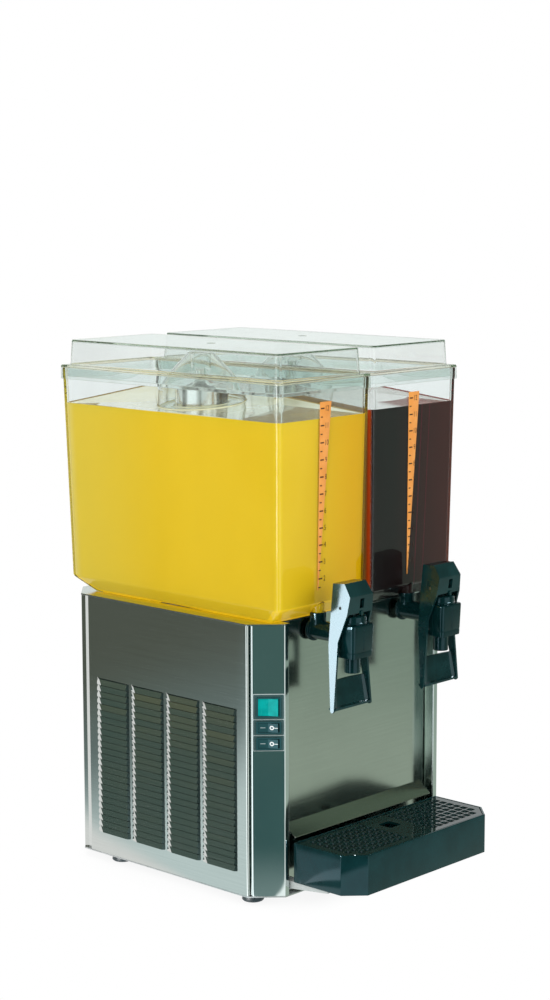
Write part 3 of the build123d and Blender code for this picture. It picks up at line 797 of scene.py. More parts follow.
def bowl(side, X):
    mb = MB()
    prof = rounded(BOWL_PROF, [0, 13, 1.4, 1.4, 10, 0], 6)
    rings = mb.loft([span(X, *q) for q in prof])
    lo = mb.pts(circle(X, EVAP_D, 58.0, 356.4))
    hi = mb.pts(circle(X, EVAP_D, 58.0, 359.4))
    mb.fill([rings[0], lo])
    mb.fill([rings[-1], hi])
    mb.bridge(lo, hi)
    # outlet at the front that drops into the tap
    tube = []
    for r, end in ((8.0, 1.5), (8.0, None), (7.4, 346.5), (6.0, 346.5), (5.6, 347.0), (5.6, 1.5)):
        q = circle(X, SPIGOT_D, r, 347.1, 48)
        if end is None or end > 100.0:
            zz = 347.1 if end is None else end
            q = [Vector((v.x, v.y, zz * 0.001)) for v in q]
        else:
            q = [Vector((v.x, v.y, (slope_z(v.y * 1000 + FRONT) + end) * 0.001)) for v in q]
        tube.append(mb.pts(q))
    for a, b in zip(tube, tube[1:] + tube[:1]):
        mb.bridge(a, b)
    o = build(side + "_bowl_shell", mb, [M["clear_plastic"]], 40)
    return put(o, side + "_bowl", "clear_plastic", (side + "_bowl",))


def juice(side, X, mat_side, mat_top, below=()):
    mb = MB()
    JUICE_Z = JUICE[side]
    prof = [(70.35, 14.7, 330.7, 6.3, 359.2), (76.8, -2.8, 365.4, 8.4, 374.6), (80.58, -6.70, 373.44, 9.2, JUICE_Z + 1.3)]
    prof = rounded(prof, [0, 10, 0], 6)
    rings = mb.loft([span(X, *q) for q in prof])
    m1 = mb.pts(span(X, 80.0, -6.1, 372.8, 8.8, JUICE_Z + 0.5))
    m2 = mb.pts(span(X, 78.4, -4.5, 371.2, 7.6, JUICE_Z))
    mb.bridge(rings[-1], m1, 1)
    mb.bridge(m1, m2, 1)
    c0 = mb.pts(circle(X, EVAP_D, 56.8, JUICE_Z + 0.9))
    c1 = mb.pts(circle(X, EVAP_D, 57.9, JUICE_Z))
    mb.bridge(c0, c1, 1)
    mb.fill([m2, c1], 1)
    hole = mb.loft([circle(X, EVAP_D, r, z) for r, z in ((56.8, JUICE_Z + 0.9), (56.8, 372.0), (58.3, 369.0), (58.3, 359.2))])
    mb.fill([rings[0], hole[-1]])
    q = circle(X, SPIGOT_D, 5.9, 347.5, 40)
    lo, hi = mb.pts(q), mb.pts([Vector((v.x, v.y, (slope_z(v.y * 1000 + FRONT) + 2.6) * 0.001)) for v in q])
    mb.bridge(lo, hi)
    mb.fill([lo])
    mb.fill([hi])
    o = build(side + "_juice", mb, [mat_side, mat_top] + list(below), 35)
    # faces underneath take the painted glow materials
    if below:
        for f in o.data.polygons:
            if f.normal.z < -0.4:
                f.material_index = 2 if f.normal.z < -0.95 else 3
    put(o, side + "_bowl")
    # drink standing inside the bell
    mb = MB()
    mb.lathe((X, EVAP_D), [(34.5, 588.0), (53.6, 588.0), (53.6, JUICE_Z + 0.8), (52.6, JUICE_Z + 0.1), (36.0, JUICE_Z),
                           (34.9, JUICE_Z + 0.5), (34.5, JUICE_Z + 1.2)], 96, 0, True)
    o = build(side + "_juice_in_bell", mb, [mat_top], 35)
    put(o, side + "_stirrer")


LID_PROF = [(70.6, 2.8, 365.8, 3.0, 685.8), (74.6, -1.2, 369.8, 6.0, 685.8), (76.45, -3.05, 371.65, 7.0, 653.4),
            (85.65, -11.85, 379.35, 5.3, 653.4), (86.0, -12.2, 379.7, 5.6, 635.0), (84.5, -10.7, 378.2, 4.6, 635.0),
            (84.15, -10.35, 377.85, 4.3, 650.4), (80.2, -6.4, 373.9, 8.6, 650.4), (80.2, -6.4, 373.9, 8.6, 638.5),
            (78.2, -4.4, 371.9, 6.6, 638.5), (78.2, -4.4, 371.9, 6.6, 651.5), (74.2, -0.8, 369.4, 5.0, 651.5),
            (72.3, 1.1, 367.5, 4.0, 683.4), (68.0, 5.4, 363.2, 2.5, 683.4)]
LID_RAD = [0, 2.6, 1.6, 2.4, 0.6, 0.6, 1.2, 1.0, 0.8, 0.8, 0.6, 0.8, 2.2, 0]


def lid(side, X):
    mb = MB()
    prof = rounded(LID_PROF, LID_RAD, 5)
    rings = mb.loft([span(X, *q) for q in prof])
    a = mb.loft([circle(X, 184.3, r, z, 48) for r, z in ((6.2, 685.8), (5.7, 685.35), (5.0, 685.3))])
    mb.fill([rings[0], a[0]])
    mb.fill([a[-1]])
    mb.fill([rings[-1]])
    o = build(side + "_lid_shell", mb, [M["clear_lid"]], 40)
    return put(o, side + "_lid", "clear_plastic", (side + "_lid",))


def stirrer(side, X):
    mb = MB()
    outer = [(0, 675.0), (13.5, 675.0), (16.5, 673.6), (38, 650.5), (47, 640.0), (53, 632.5), (56, 625.0), (56, 585.0),
             (54, 585.0), (54, 624.5), (51.2, 631.4), (45.3, 638.9), (36.2, 649.4), (15.4, 671.8), (13, 672.8), (0, 672.8)]
    rad = [0, 1.5, 2, 30, 25, 8, 6, 0.6, 0.6, 6, 8, 25, 30, 2, 1.5, 0]
    mb.lathe((X, EVAP_D), rounded(outer, rad, 4), 128)
    hub = [(13.2, 672.9), (13.2, 650.0), (8.0, 650.0), (8.0, 641.0), (5.06, 641.0), (5.06, 653.0), (11.2, 653.0), (11.2, 672.9)]
    mb.lathe((X, EVAP_D), hub, 64, 0, True)
    mb.lathe((X, EVAP_D), [(50.3, 371.0), (53.7, 371.0), (54.0, 371.3), (54.0, 377.7), (53.7, 378.0), (50.3, 378.0),
                           (50.0, 377.7), (50.0, 371.3)], 96, 0, True)
    for k in (0, 1):
        c = 40.0 + 180.0 * k
        rows = []
        for r in (51.6, 53.8):
            for z in (375.0, 587.0):
                rows.append(mb.pts([P(X + r * math.cos(math.radians(c + w)), EVAP_D + r * math.sin(math.radians(c + w)), z)
                                    for w in (-8.7, -5.8, -2.9, 0.0, 2.9, 5.8, 8.7)]))
        a, b, cc, d = rows
        for p, q in ((a, b), (b, d), (d, cc), (cc, a)):
            mb.bridge(p, q, 0, False)
        for e in (0, -1):
            mb.face((a[e], b[e], d[e], cc[e]))
    o = build(side + "_stirrer_bell", mb, [M["clear_stirrer"]], 38)
    return put(o, side + "_stirrer", "clear_plastic", (side + "_stirrer",))


def evaporator(side, X):
    mb = MB()
    prof = [(32.4, 330), (34, 330), (34, 351), (46, 351), (46, 354), (34, 354), (34, 624), (31, 628.2), (18, 636.0),
            (8, 639.5), (5, 640), (5, 651), (4, 652), (0, 652)]
    rad = [0, 0.3, 0.6, 0.6, 0.6, 0.6, 4, 10, 25, 8, 1.2, 1.0, 0.8, 0]
    mb.lathe((X, EVAP_D), rounded(prof, rad, 5), 128)
    inner = [(0, 637), (8, 636.5), (17, 633.5), (30, 626), (32.4, 622.5), (32.4, 330)]
    mb.lathe((X, EVAP_D), inner, 128)
    o = build(side + "_evaporator_finger", mb, [M["finger_steel"]], 35)
    return put(o, "cabinet", "finger_steel", (side + "_evaporator",))


yellow_side = liquid("orange_drink", -BOWL_X, (0.83, 0.595, 0.020), (0.87, 0.635, 0.032), 0.35, 0.05, 0.25, (0.86, 0.72, 0.24),
                     (0.0, 0.020), None, True, (0.80, 0.48, 0.0005), (0.83, 0.65, 0.075))
# pale drink tops: partly the drink's colour, partly a painted reflection of the bright backdrop
yellow_top = surface("orange_drink_surface", -BOWL_X, (0.87, 0.78, 0.48), (0.91, 0.84, 0.57), (0.40, 0.24, 0.04))
dark_side = liquid("dark_drink", BOWL_X, (0.0135, 0.0120, 0.0118), (0.018, 0.0125, 0.0125), 0.35, 0.05, 0.0, (0.52, 0.050, 0.006),
                   (0.025, 0.055), (0.0010, 0.0030), False, (0.060, 0.0125, 0.0125), None, (0.40, 0.20, 0.055),
                   ((16.5, 8.4, 0.0006), (31.9, 24.8, 0.0005)))
dark_top = surface("dark_drink_surface", BOWL_X, (0.36, 0.29, 0.26), (0.42, 0.34, 0.31), (0.30, 0.012, 0.010))

for side, X in (("left", -BOWL_X), ("right", BOWL_X)):
    bowl(side, X)
    lid(side, X)
    stirrer(side, X)
    evaporator(side, X)
juice("left", -BOWL_X, yellow_side, yellow_top,
      (lit_through("orange_drink_under", (0.80, 0.52, 0.012), (0.86, 0.60, 0.025), 0.45),
       lit_through("orange_drink_bevel", (0.82, 0.56, 0.014), (0.87, 0.62, 0.028), 0.20)))
juice("right", BOWL_X, dark_side, dark_top)

# ================================================================ level scales
LEAN = 4.7 / (650.0 - 373.5)


def wall_d(z):
    return -5.4 - LEAN * (z - 373.5)


def text_outline(word, size):
    """Flat filled shape of a short number, as points and faces in mm, lower left corner at 0, 0."""
    cu = bpy.data.curves.new("number", "FONT")
    cu.body = word
    cu.size = 1.0
    cu.resolution_u = 4
    o = bpy.data.objects.new("number", cu)
    scene.collection.objects.link(o)
    dg = bpy.context.evaluated_depsgraph_get()
    dg.update()
    me = bpy.data.meshes.new_from_object(o.evaluated_get(dg))
    pts = [(v.co.x, v.co.y) for v in me.vertices]
    faces = [tuple(f.vertices) for f in me.polygons]
    bpy.data.objects.remove(o)
    bpy.data.curves.remove(cu)
    bpy.data.meshes.remove(me)
    x0 = min(p[0] for p in pts)
    y0 = min(p[1] for p in pts)
    h = max(p[1] for p in pts) - y0
    k = size / h
    return [((x - x0) * k, (y - y0) * k) for x, y in pts], faces


def level_scale(side, X, foot_x, top_x, foot_z):
    film = MB()
    zb = 624.0
    out = []
    for t in range(13):
        z = foot_z + (zb - foot_z) * t / 12
        s = (z - foot_z) / (zb - foot_z)
        xl = foot_x + (top_x - foot_x) * s
        xr = foot_x + 1.5 + (top_x + 21.0 - foot_x - 1.5) * s
        out.append((xl, xr, z))

    def at(x, z, lift):
        return P(X + x, wall_d(z) - lift, z)
    rows = []
    for xl, xr, z in out:
        e = 0.25
        rows.append(film.pts([at(xl, z, 0.02), at(xl, z, 0.30), at(xl + e, z, 0.40), at(xr - e, z, 0.40), at(xr, z, 0.30),
                              at(xr, z, 0.02)]))
    for a, b in zip(rows, rows[1:]):
        film.bridge(a, b)
    film.face(rows[0])
    film.face(rows[-1])

    def edge_l(z):
        return foot_x + (top_x - foot_x) * (z - foot_z) / (zb - foot_z)

    def bar(x0, x1, z, h):
        lo, hi = 0.405, 0.46
        c = [at(x, zz, l) for l in (lo, hi) for zz in (z - h / 2, z + h / 2) for x in (x0, x1)]
        i = film.pts(c)
        for q in ((0, 2, 3, 1), (4, 5, 7, 6), (0, 1, 5, 4), (2, 6, 7, 3), (0, 4, 6, 2), (1, 3, 7, 5)):
            film.face([i[k] for k in q], 1)

    step = 21.1
    for n in range(2, 13):
        z = 616.0 - (12 - n) * step
        x = edge_l(z) + 1.6
        bar(x, x + 6.6, z, 1.7)
        if n < 12:
            zz = z + step / 2
            xx = edge_l(zz) + 1.6
            bar(xx, xx + 3.8, zz, 1.4)
        pts, faces = text_outline(str(n), 6.6)
        gx = x + 9.2
        i0 = film.pts([at(gx + px * 0.78, z - 3.3 + pz, 0.44) for px, pz in pts])
        for f in faces:
            film.face([i0[k] for k in f], 1)
        i1 = film.pts([at(gx + px * 0.78, z - 3.3 + pz, 0.405) for px, pz in pts])
        for f in faces:
            film.face([i1[k] for k in reversed(f)], 1)
        count = {}
        for f in faces:
            for a, b in zip(f, f[1:] + f[:1]):
                key = (min(a, b), max(a, b))
                count.setdefault(key, []).append((a, b))
        for key, e in count.items():
            if len(e) == 1:
                a, b = e[0]
                film.face((i0[b], i0[a], i1[a], i1[b]), 1)
    zl = 616.0 - 10 * step - 10.8
    bar(edge_l(zl) + 1.2, edge_l(zl) + 5.4, zl, 1.5)
    o = build(side + "_scale_print", film, [M["scale_film"], M["print_dark"]], 25)
    return put(o, side + "_bowl", "scale_film", (side + "_level_scale",))


level_scale("left", -BOWL_X, -9.6, -9.6, 391.0)
level_scale("right", BOWL_X, -10.0, -12.9, 388.0)

# ================================================================ sheet panels
COLS = [(51.5, 107.7), (116.0, 172.2), (180.4, 236.6), (244.8, 301.0)]
Z_LOW, Z_TOP = 12.0, 354.0


def side_panel(side, sg):
    """Pressed side panel: four columns of 25 hooded louvres, edges turned in."""
    mb = MB()
    path = bent_path([(178.9, 32.4), (182.5, 32.4), (182.5, 318.8), (178.9, 328.2)], [0, 2.6, 6.0, 0], 8)
    rows_d = sorted({c for ab in COLS for c in ab})
    full = []
    for a, b in zip(path, path[1:]):
        full.append(a)
        if abs(a[0] - 182.5) < 1e-3 and abs(b[0] - 182.5) < 1e-3:
            full.extend((182.5, d) for d in rows_d)
    full.append(path[-1])
    zs = [Z_LOW]
    cells = []
    for i in range(25):
        z = 40.5 + 8.28 * i
        cells.append((z, z + 7.6))
        zs += [z, z + 7.6]
    zs.append(Z_TOP)
    ids = [mb.pts([P(sg * x, d, z) for x, d in full]) for z in zs]
    for j in range(len(zs) - 1):
        hood = j % 2 == 1
        for i in range(len(full) - 1):
            d0, d1 = full[i][1], full[i + 1][1]
            a, b, c, e = ids[j][i], ids[j][i + 1], ids[j + 1][i + 1], ids[j + 1][i]
            flat = abs(full[i][0] - 182.5) < 1e-3 and abs(full[i + 1][0] - 182.5) < 1e-3
            col = flat and any(abs(d0 - p) < 1e-3 and abs(d1 - q) < 1e-3 for p, q in COLS)
            if hood and col:
                proud = 2.7 + rnd.uniform(-0.05, 0.05)
                zl = zs[j] + 0.25 + rnd.uniform(-0.05, 0.05)
                zt = zs[j + 1]
                fold = 0.385 + rnd.uniform(-0.03, 0.03)
                w1 = d1 - d0
                rows = []
                for t, q in ((0.0, 0.04), (0.09, fold), (1.0, 1.0)):
                    z = zt - (zt - zl) * t
                    f0, f1 = d0 + 2.0 * q, d1 - 8.6 * q
                    x = 182.5 if t == 0.0 else 182.5 + proud * q
                    mid = mb.pts([P(sg * x, f0, z), P(sg * x, f1, z)])
                    if t == 0.0:
                        rows.append([e] + mid + [c])
                    elif t == 1.0:
                        rows.append([a] + mid + [b])
                    else:
                        ends = mb.pts([P(sg * 182.5, d0, z), P(sg * 182.5, d1, z)])
                        rows.append([ends[0]] + mid + [ends[1]])
                for r0, r1 in zip(rows, rows[1:]):
                    for k in range(3):
                        # the front end face of each hood (k == 0) takes the dark louvre end steel: painted shade
                        mb.face((r0[k + 1], r0[k], r1[k], r1[k + 1]), 1 if k == 0 else 0)
            else:
                mb.face((b, a, e, c))
    if sg > 0:
        mb.f = [tuple(reversed(f)) for f in mb.f]
    o = build(side + "_louvred_panel", mb, [M["panel_steel"], M["louvre_mouth"]], 20, recalc=False)
    solidify(o, 0.9)
    o.data.set_sharp_from_angle(angle=math.radians(20))
    return put(o, "cabinet", "panel_steel", (side + "_side_panel",))


side_panel("left", -1)
side_panel("right", 1)


def sheet(name, path, zs, skip, t, mat, slot, node, sharp=22, other=None):
    """Bent sheet from a plan path and heights; skip(i, j) leaves a cell open; other is a finish and where it is."""
    mb = MB()
    ids = [mb.pts([P(x, d, z) for x, d in path]) for z in zs]
    for j in range(len(zs) - 1):
        for i in range(len(path) - 1):
            if not skip(i, j):
                mb.face((ids[j][i], ids[j][i + 1], ids[j + 1][i + 1], ids[j + 1][i]),
                        1 if other and other[1](path[i], path[i + 1]) else 0)
    o = build(name, mb, [mat] + ([other[0]] if other else []), sharp, recalc=False)
    solidify(o, t)
    o.data.set_sharp_from_angle(angle=math.radians(sharp))
    return put(o, "cabinet", slot, (node,))


SWITCH_U = 3.4
SWITCHES = [(252.6, 31.0, 25.4), (227.1, 31.0, 15.0), (207.0, 31.0, 15.0)]


def column(side, sg):
    corners = [(-177.8, 60.0), (-177.8, 28.6), (-149.2, 0.0), (-141.3, 0.0), (-141.3, 24.0)]
    path = bent_path(corners, [0, 2.6, 2.4, 1.5, 0], 7)
    zs = [Z_LOW, Z_TOP]
    open_cells = set()
    if sg < 0:
        # cut-outs for the switch housings on the 45 degree face
        u0 = math.sqrt(0.5)
        stops = []
        for z, w, h in SWITCHES:
            stops += [SWITCH_U - (w - 3.0) / 2, SWITCH_U + (w - 3.0) / 2]
        stops = sorted(set(round(s, 4) for s in stops))
        new = [path[0]]
        for a, b in zip(path, path[1:]):
            if math.dist(a, b) > 25 and abs(abs(b[0] - a[0]) - abs(b[1] - a[1])) < 1e-3:
                for s in stops:
                    new.append((-165.85 + u0 * s, 16.65 - u0 * s))
            new.append(b)
        path = new
        zs = sorted([Z_LOW, Z_TOP] + [z + k * (h - 2.0) / 2 for z, w, h in SWITCHES for k in (-1, 1)])
        for j in range(len(zs) - 1):
            zm = (zs[j] + zs[j + 1]) / 2
            for i in range(len(path) - 1):
                mx, md = (path[i][0] + path[i + 1][0]) / 2, (path[i][1] + path[i + 1][1]) / 2
                um = ((mx + 165.85) - (md - 16.65)) * u0
                on = abs((mx + 165.85) + (md - 16.65)) < 0.02
                for z, w, h in SWITCHES:
                    if on and abs(zm - z) < (h - 2.0) / 2 and abs(um - SWITCH_U) < (w - 3.0) / 2:
                        open_cells.add((i, j))
    if sg > 0:
        path = [(-x, d) for x, d in path][::-1]
    # the return flanges take the darker return steel: painted shade
    return sheet("front_%s_column_sheet" % side, path, zs, lambda i, j: (i, j) in open_cells, 1.2, M["polished_steel"],
                 "polished_steel", "front_%s_column" % side,
                 other=(M["return_steel"], lambda a, b: abs(abs(a[0]) - 141.3) < 0.01 and abs(abs(b[0]) - 141.3) < 0.01))


column("left", -1)
column("right", 1)

fp = bent_path([(-139.7, 26.0), (-139.7, 15.0), (139.7, 15.0), (139.7, 26.0)], [0, 1.6, 1.6, 0], 5)
sheet("front_panel_sheet", fp, [Z_LOW, Z_TOP], lambda i, j: False, 1.0, M["front_steel"], "panel_steel", "front_panel")

# rear cover: folded corners, two rows of pressed slots
CAB_D = 366.0
rp = bent_path([(177.5, 305.0), (177.5, CAB_D - 33.3 + 5.0), (149.2, CAB_D), (-149.2, CAB_D),
                (-177.5, CAB_D - 33.3 + 5.0), (-177.5, 305.0)], [0, 2.6, 2.6, 2.6, 2.6, 0], 6)


def rear_cover():
    mb = MB()
    xs = [100.0, 16.0, -16.0, -100.0]
    full = []
    for a, b in zip(rp, rp[1:]):
        full.append(a)
        if a[0] > 140 and b[0] < -140:
            full.extend((x, CAB_D) for x in xs)
    full.append(rp[-1])
    zs = [Z_LOW]
    for i in range(12):
        zs += [90.0 + 12 * i, 96.5 + 12 * i]
    zs.append(Z_TOP)
    ids = [mb.pts([P(x, d, z) for x, d in full]) for z in zs]
    for j in range(len(zs) - 1):
        for i in range(len(full) - 1):
            a, b, c, e = ids[j][i], ids[j][i + 1], ids[j + 1][i + 1], ids[j + 1][i]
            x0, x1 = full[i][0], full[i + 1][0]
            slot_col = abs(full[i][1] - CAB_D) < 1e-3 and abs(full[i + 1][1] - CAB_D) < 1e-3 and (
                (abs(x0 - 100) < 1e-6 and abs(x1 - 16) < 1e-6) or (abs(x0 + 16) < 1e-6 and abs(x1 + 100) < 1e-6))
            if j % 2 == 1 and slot_col:
                zl, zt = zs[j] + 0.3, zs[j + 1]
                pr = 2.4
                l0, l1 = mb.pts([P(x0 - 4, CAB_D + pr, zl), P(x1 + 4, CAB_D + pr, zl)])
                mb.face((e, c, l1, l0)[::-1])
                mb.face((a, e, l0)[::-1])
                mb.face((c, b, l1)[::-1])
            else:
                mb.face((a, b, c, e))
    o = build("rear_cover_sheet", mb, [M["panel_steel"]], 20, recalc=False)
    solidify(o, 1.0)
    o.data.set_sharp_from_angle(angle=math.radians(20))
    return put(o, "cabinet", "panel_steel", ("rear_panel",))


rear_cover()

# ============================================================ drip tray's grid
TRAY = (140.0, -106.7, -5.5, 23.65)


def inset(t):
    hw, d0, d1, c0 = TRAY
    c = c0 - 0.586 * t
    return [(-hw + t, d1 - t), (-hw + t, d0 + t + c), (-hw + t + c, d0 + t), (hw - t - c, d0 + t), (hw - t, d0 + t + c),
            (hw - t, d1 - t)]


def grid():
    """Moulded grid: square holes with chamfered mouths, a larger window in the middle."""
    mb = MB()
    zt, zb, ch = 79.0, 76.0, 0.9
    edge = [inset(3.9), inset(3.0), inset(3.0)]
    e = mb.loft([[P(x, d, z) for x, d in pts] for pts, z in zip(edge, (zt, zt - 0.7, zb))])
    tops, bots = [e[0]], [e[2]]
    cells = [(0.0, -43.5, 10.5, 0.3)]
    for s in (-1, 1):
        for i in range(9):
            for j in range(7):
                x, d = s * (29.5 + 11.5 * i), -21.5 - 11.5 * j
                if abs(x) + abs(d) + 8.4 > 214.6:
                    continue
                cells.append((x, d, 4.2, ch))
    for x, d, h, c in cells:
        def sq(k, z):
            r = min(1.5, k * 0.36)
            out = []
            for sx, sd, a0 in ((1, 1, 0), (-1, 1, 90), (-1, -1, 180), (1, -1, 270)):
                for q in range(3):
                    a = math.radians(a0 + 45.0 * q)
                    out.append(P(x + sx * (k - r) + r * math.cos(a), d + sd * (k - r) + r * math.sin(a), z))
            return out
        r = mb.loft([sq(h + c * 0.6, zt), sq(h + c * 0.2, zt - c * 0.35), sq(h - c * 0.8, zb)])
        tops.append(r[0])
        bots.append(r[-1])
    mb.fill(tops)
    mb.fill(bots)
    o = build("drip_grid_plate", mb, [M["grid_black"]], 28)
    return put(o, "drip_grid", "grid_black", ("drip_grid",))


grid()


def tray():
    """Drip tray: outer wall with crisp rounded corners, stepped rim that carries the grid, hollow inside."""
    mb = MB()
    hw, d0, d1, c0 = TRAY

    def ring(t, z, r):
        pts = inset(t)
        out = []
        n = len(pts)
        for i in range(n):
            p = Vector(pts[i])
            a, b = Vector(pts[i - 1]) - p, Vector(pts[(i + 1) % n]) - p
            ang = a.angle(b)
            tt = r / math.tan(ang / 2)
            pa, pb = p + a.normalized() * tt, p + b.normalized() * tt
            for k in range(5):
                s = k / 4
                q = pa * (1 - s) ** 2 + p * 2 * s * (1 - s) + pb * s * s
                out.append(P(q.x, q.y, z))
        return out
    prof = [(3.0, 28.5, 1.0), (0.9, 28.5, 1.2), (0.25, 28.75, 1.2), (0.0, 29.4, 1.2), (0.0, 78.4, 1.2), (0.25, 79.05, 1.2),
            (0.9, 79.3, 1.0), (2.2, 79.3, 0.8), (2.5, 79.1, 0.8), (2.6, 78.8, 0.8), (2.6, 75.6, 0.8), (5.6, 75.6, 0.8),
            (6.0, 75.2, 0.8), (6.2, 34.5, 2.0), (7.0, 32.2, 2.5), (9.0, 31.5, 3.0)]
    r = mb.loft([ring(t, z, q) for t, z, q in prof])
    mb.fill([r[0]])
    mb.fill([r[-1]])
    o = build("drip_tray_shell", mb, [M["tray_black"]], 30)
    return put(o, "drip_tray", "tray_black", ("drip_tray",))


tray()

# ======================================================================= taps


def tap(side, X):
    # tube from the bowl outlet, end ring, upright socket
    t = MB()
    t.lathe((X, TAP_Z), rounded([(0, -46.0), (12.0, -46.0), (12.0, 5.6), (12.4, 6.0), (14.7, 6.0), (14.7, 10.4), (11.0, 10.4),
                                 (10.5, 9.8), (0, 9.8)], [0, 0.5, 0.8, 0.5, 1.5, 1.5, 0.4, 0.4, 0], 4), 64, axis="y")
    body = build(side + "_tap_valve", t, [M["tap_black"]], 32)
    t = MB()
    t.lathe((X, SPIGOT_D), rounded([(0, 339.5), (10.4, 339.5), (10.4, 362.0), (8.1, 362.0), (8.1, 345.5), (0, 345.5)],
                                   [0, 0, 0.9, 0.5, 0.5, 0], 4), 64)
    socket = build("socket", t, [M["tap_black"]], 32)
    # its mouth is cut to the slope of the bowl's underside
    for v in socket.data.vertices:
        if v.co.z > 0.350:
            v.co.z = min(v.co.z, (slope_z(v.co.y * 1000 + FRONT) - 1.2 + v.co.z * 1000 - 362.0) * 0.001)
    # valve block: tapered, a lower band, a raised seam down the middle of each face
    t = MB()
    rows = [(17.2, 14.7, 3.6, 314.0), (18.6, 16.1, 4.4, 314.6), (19.05, 16.55, 5.0, 316.0), (19.25, 16.75, 5.0, 321.2),
            (18.95, 16.45, 5.0, 321.6), (18.95, 16.45, 5.0, 322.2), (19.3, 16.8, 5.0, 322.8), (20.3, 17.8, 5.0, 352.0),
            (20.3, 17.8, 5.0, 353.6), (19.9, 17.4, 4.8, 355.0), (18.9, 16.4, 4.2, 355.5)]
    r = t.loft([rring(X, -56.0, a, b, q, z, 6) for a, b, q, z in rows])
    t.fill([r[0]])
    t.fill([r[-1]])
    block = build("block", t, [M["tap_black"]], 32)
    t = MB()
    t.lathe((X, TAP_D), rounded([(0, 317.0), (9.8, 317.0), (9.8, 294.0), (7.0, 294.0), (7.0, 312.0), (0, 312.0)],
                                [0, 0, 0.9, 0.9, 0.6, 0], 4), 64)
    nozzle = build("nozzle", t, [M["tap_black"]], 32)
    boolean(body, [socket, block, nozzle], "UNION")
    c = MB()
    c.lathe((X, TAP_D), [(0, 322.0), (13.0, 322.0), (13.0, 362.0), (0, 362.0)], 48)
    c1 = build("chamber", c, [], 30)
    c = MB()
    c.lathe((X, TAP_D), [(0, 308.0), (7.0, 308.0), (7.0, 330.0), (0, 330.0)], 48)
    c2 = build("bore", c, [], 30)
    boolean(body, [c1, c2], "DIFFERENCE")
    body.data.set_sharp_from_angle(angle=math.radians(32))
    put(body, side + "_bowl", "tap_black", (side + "_tap_body",))
    # raised seams and corner studs on the block
    s = MB()
    for sx, sd in ((0, -1), (-1, 0), (1, 0)):
        for z0, z1 in ((315.5, 320.8), (323.4, 352.6)):
            def half(z, k):
                f = (z - 314.0) / 41.5
                return (19.0 + 1.5 * f if k else 16.5 + 1.5 * f)
            pts = []
            for z in (z0, z1):
                for w, lift in ((-0.55, -0.5), (-0.30, 0.28), (0.30, 0.28), (0.55, -0.5)):
                    if sd:
                        pts.append(P(X + w, -56.0 + sd * (half(z, 0) + lift), z))
                    else:
                        pts.append(P(X + sx * (half(z, 1) + lift), -56.0 + w, z))
            i = s.pts(pts)
            s.bridge(i[:4], i[4:])
            s.face(i[:4])
            s.face(i[4:])
    # lug over the ring, under the slope of the bowl
    ring = []
    for k, z in ((0.7, 352.4), (0.0, 353.0), (0.0, 357.0), (0.8, 357.8)):
        ring.append(s.pts([P(X + sx * (3.6 - k), dd, z) for sx, dd in ((-1, 5.6 + k), (1, 5.6 + k), (1, 10.4 - k), (-1, 10.4 - k))]))
    for a, b in zip(ring, ring[1:]):
        s.bridge(a, b)
    s.face(ring[0])
    s.face(ring[-1])
    o = build(side + "_tap_seams", s, [M["tap_black"]], 30)
    put(o, side + "_bowl", "tap_black")
    # collar cap
    t = MB()
    rows = [(14.6, 355.5), (16.6, 355.6), (17.0, 356.2), (17.0, 357.2), (16.4, 357.8), (16.2, 358.6), (16.2, 363.4), (15.8, 364.8),
            (14.8, 365.7), (13.4, 366.0)]
    r = t.loft([circle(X, -56.0, a, z, 72) for a, z in rows])
    hi = t.pts(circle(X, TAP_D, 4.3, 366.0, 48))
    lo = t.pts(circle(X, TAP_D, 4.3, 355.5, 48))
    t.fill([r[-1], hi])
    t.fill([r[0], lo])
    t.bridge(hi, lo)
    o = build(side + "_tap_collar", t, [M["tap_black"]], 32)
    put(o, side + "_bowl", "tap_black", (side + "_tap_cap",))


tap("left", -BOWL_X)
tap("right", BOWL_X)

# ========================================================== switch face details


def on_switch(u, y, z):
    """Point on the switch face's own axes: along the face, inwards, up (mm)."""
    k = math.sqrt(0.5)
    return P(-165.85 + k * (u + y), 16.65 + k * (-u + y), z)


def frame_round(name, z0, z1, w, h, z):
    """Moulded frame around one switch: soft outer edge, step down to the switch."""
    mb = MB()

    def ring(hw, za, zb, r, y):
        out = []
        for su, a0, zc in ((1, 0, zb - r), (-1, 90, zb - r), (-1, 180, za + r), (1, 270, za + r)):
            for k in range(5):
                a = math.radians(a0 + 22.5 * k)
                out.append(on_switch(SWITCH_U + su * (hw - r) + r * math.cos(a), y, zc + r * math.sin(a)))
        return mb.pts(out)
    a0, a1, aw = z - h / 2 - 0.05, z + h / 2 + 0.05, w / 2 + 0.05
    rings = [ring(18.7, z0, z1, 1.3, -0.45), ring(18.7, z0, z1, 1.3, -1.05), ring(18.55, z0 + 0.15, z1 - 0.15, 1.2, -1.35),
             ring(18.2, z0 + 0.5, z1 - 0.5, 1.0, -1.5), ring(aw + 0.9, a0 - 0.9, a1 + 0.9, 1.4, -1.5),
             ring(aw + 0.4, a0 - 0.4, a1 + 0.4, 1.0, -1.35), ring(aw, a0, a1, 0.7, -1.0), ring(aw, a0, a1, 0.7, -0.45)]
    for a, b in zip(rings, rings[1:] + rings[:1]):
        mb.bridge(a, b)
    o = build(name, mb, [M["switch_frame"]], 40)
    return put(o, "cabinet", "switch_black")


for (z, w, h), (n, z0, z1) in zip(SWITCHES, (("main", 237.7, 268.3), ("left", 217.7, 236.7), ("right", 198.1, 216.7))):
    frame_round(n + "_switch_frame", z0, z1, w, h, z)


def hit(node, u, z):
    o = nodes[node]
    a, b = on_switch(u, -20.0, z), on_switch(u, 0.0, z)
    ok, loc, nor, _ = o.ray_cast(a, (b - a).normalized())
    return (loc, nor) if ok else (b, (a - b).normalized())


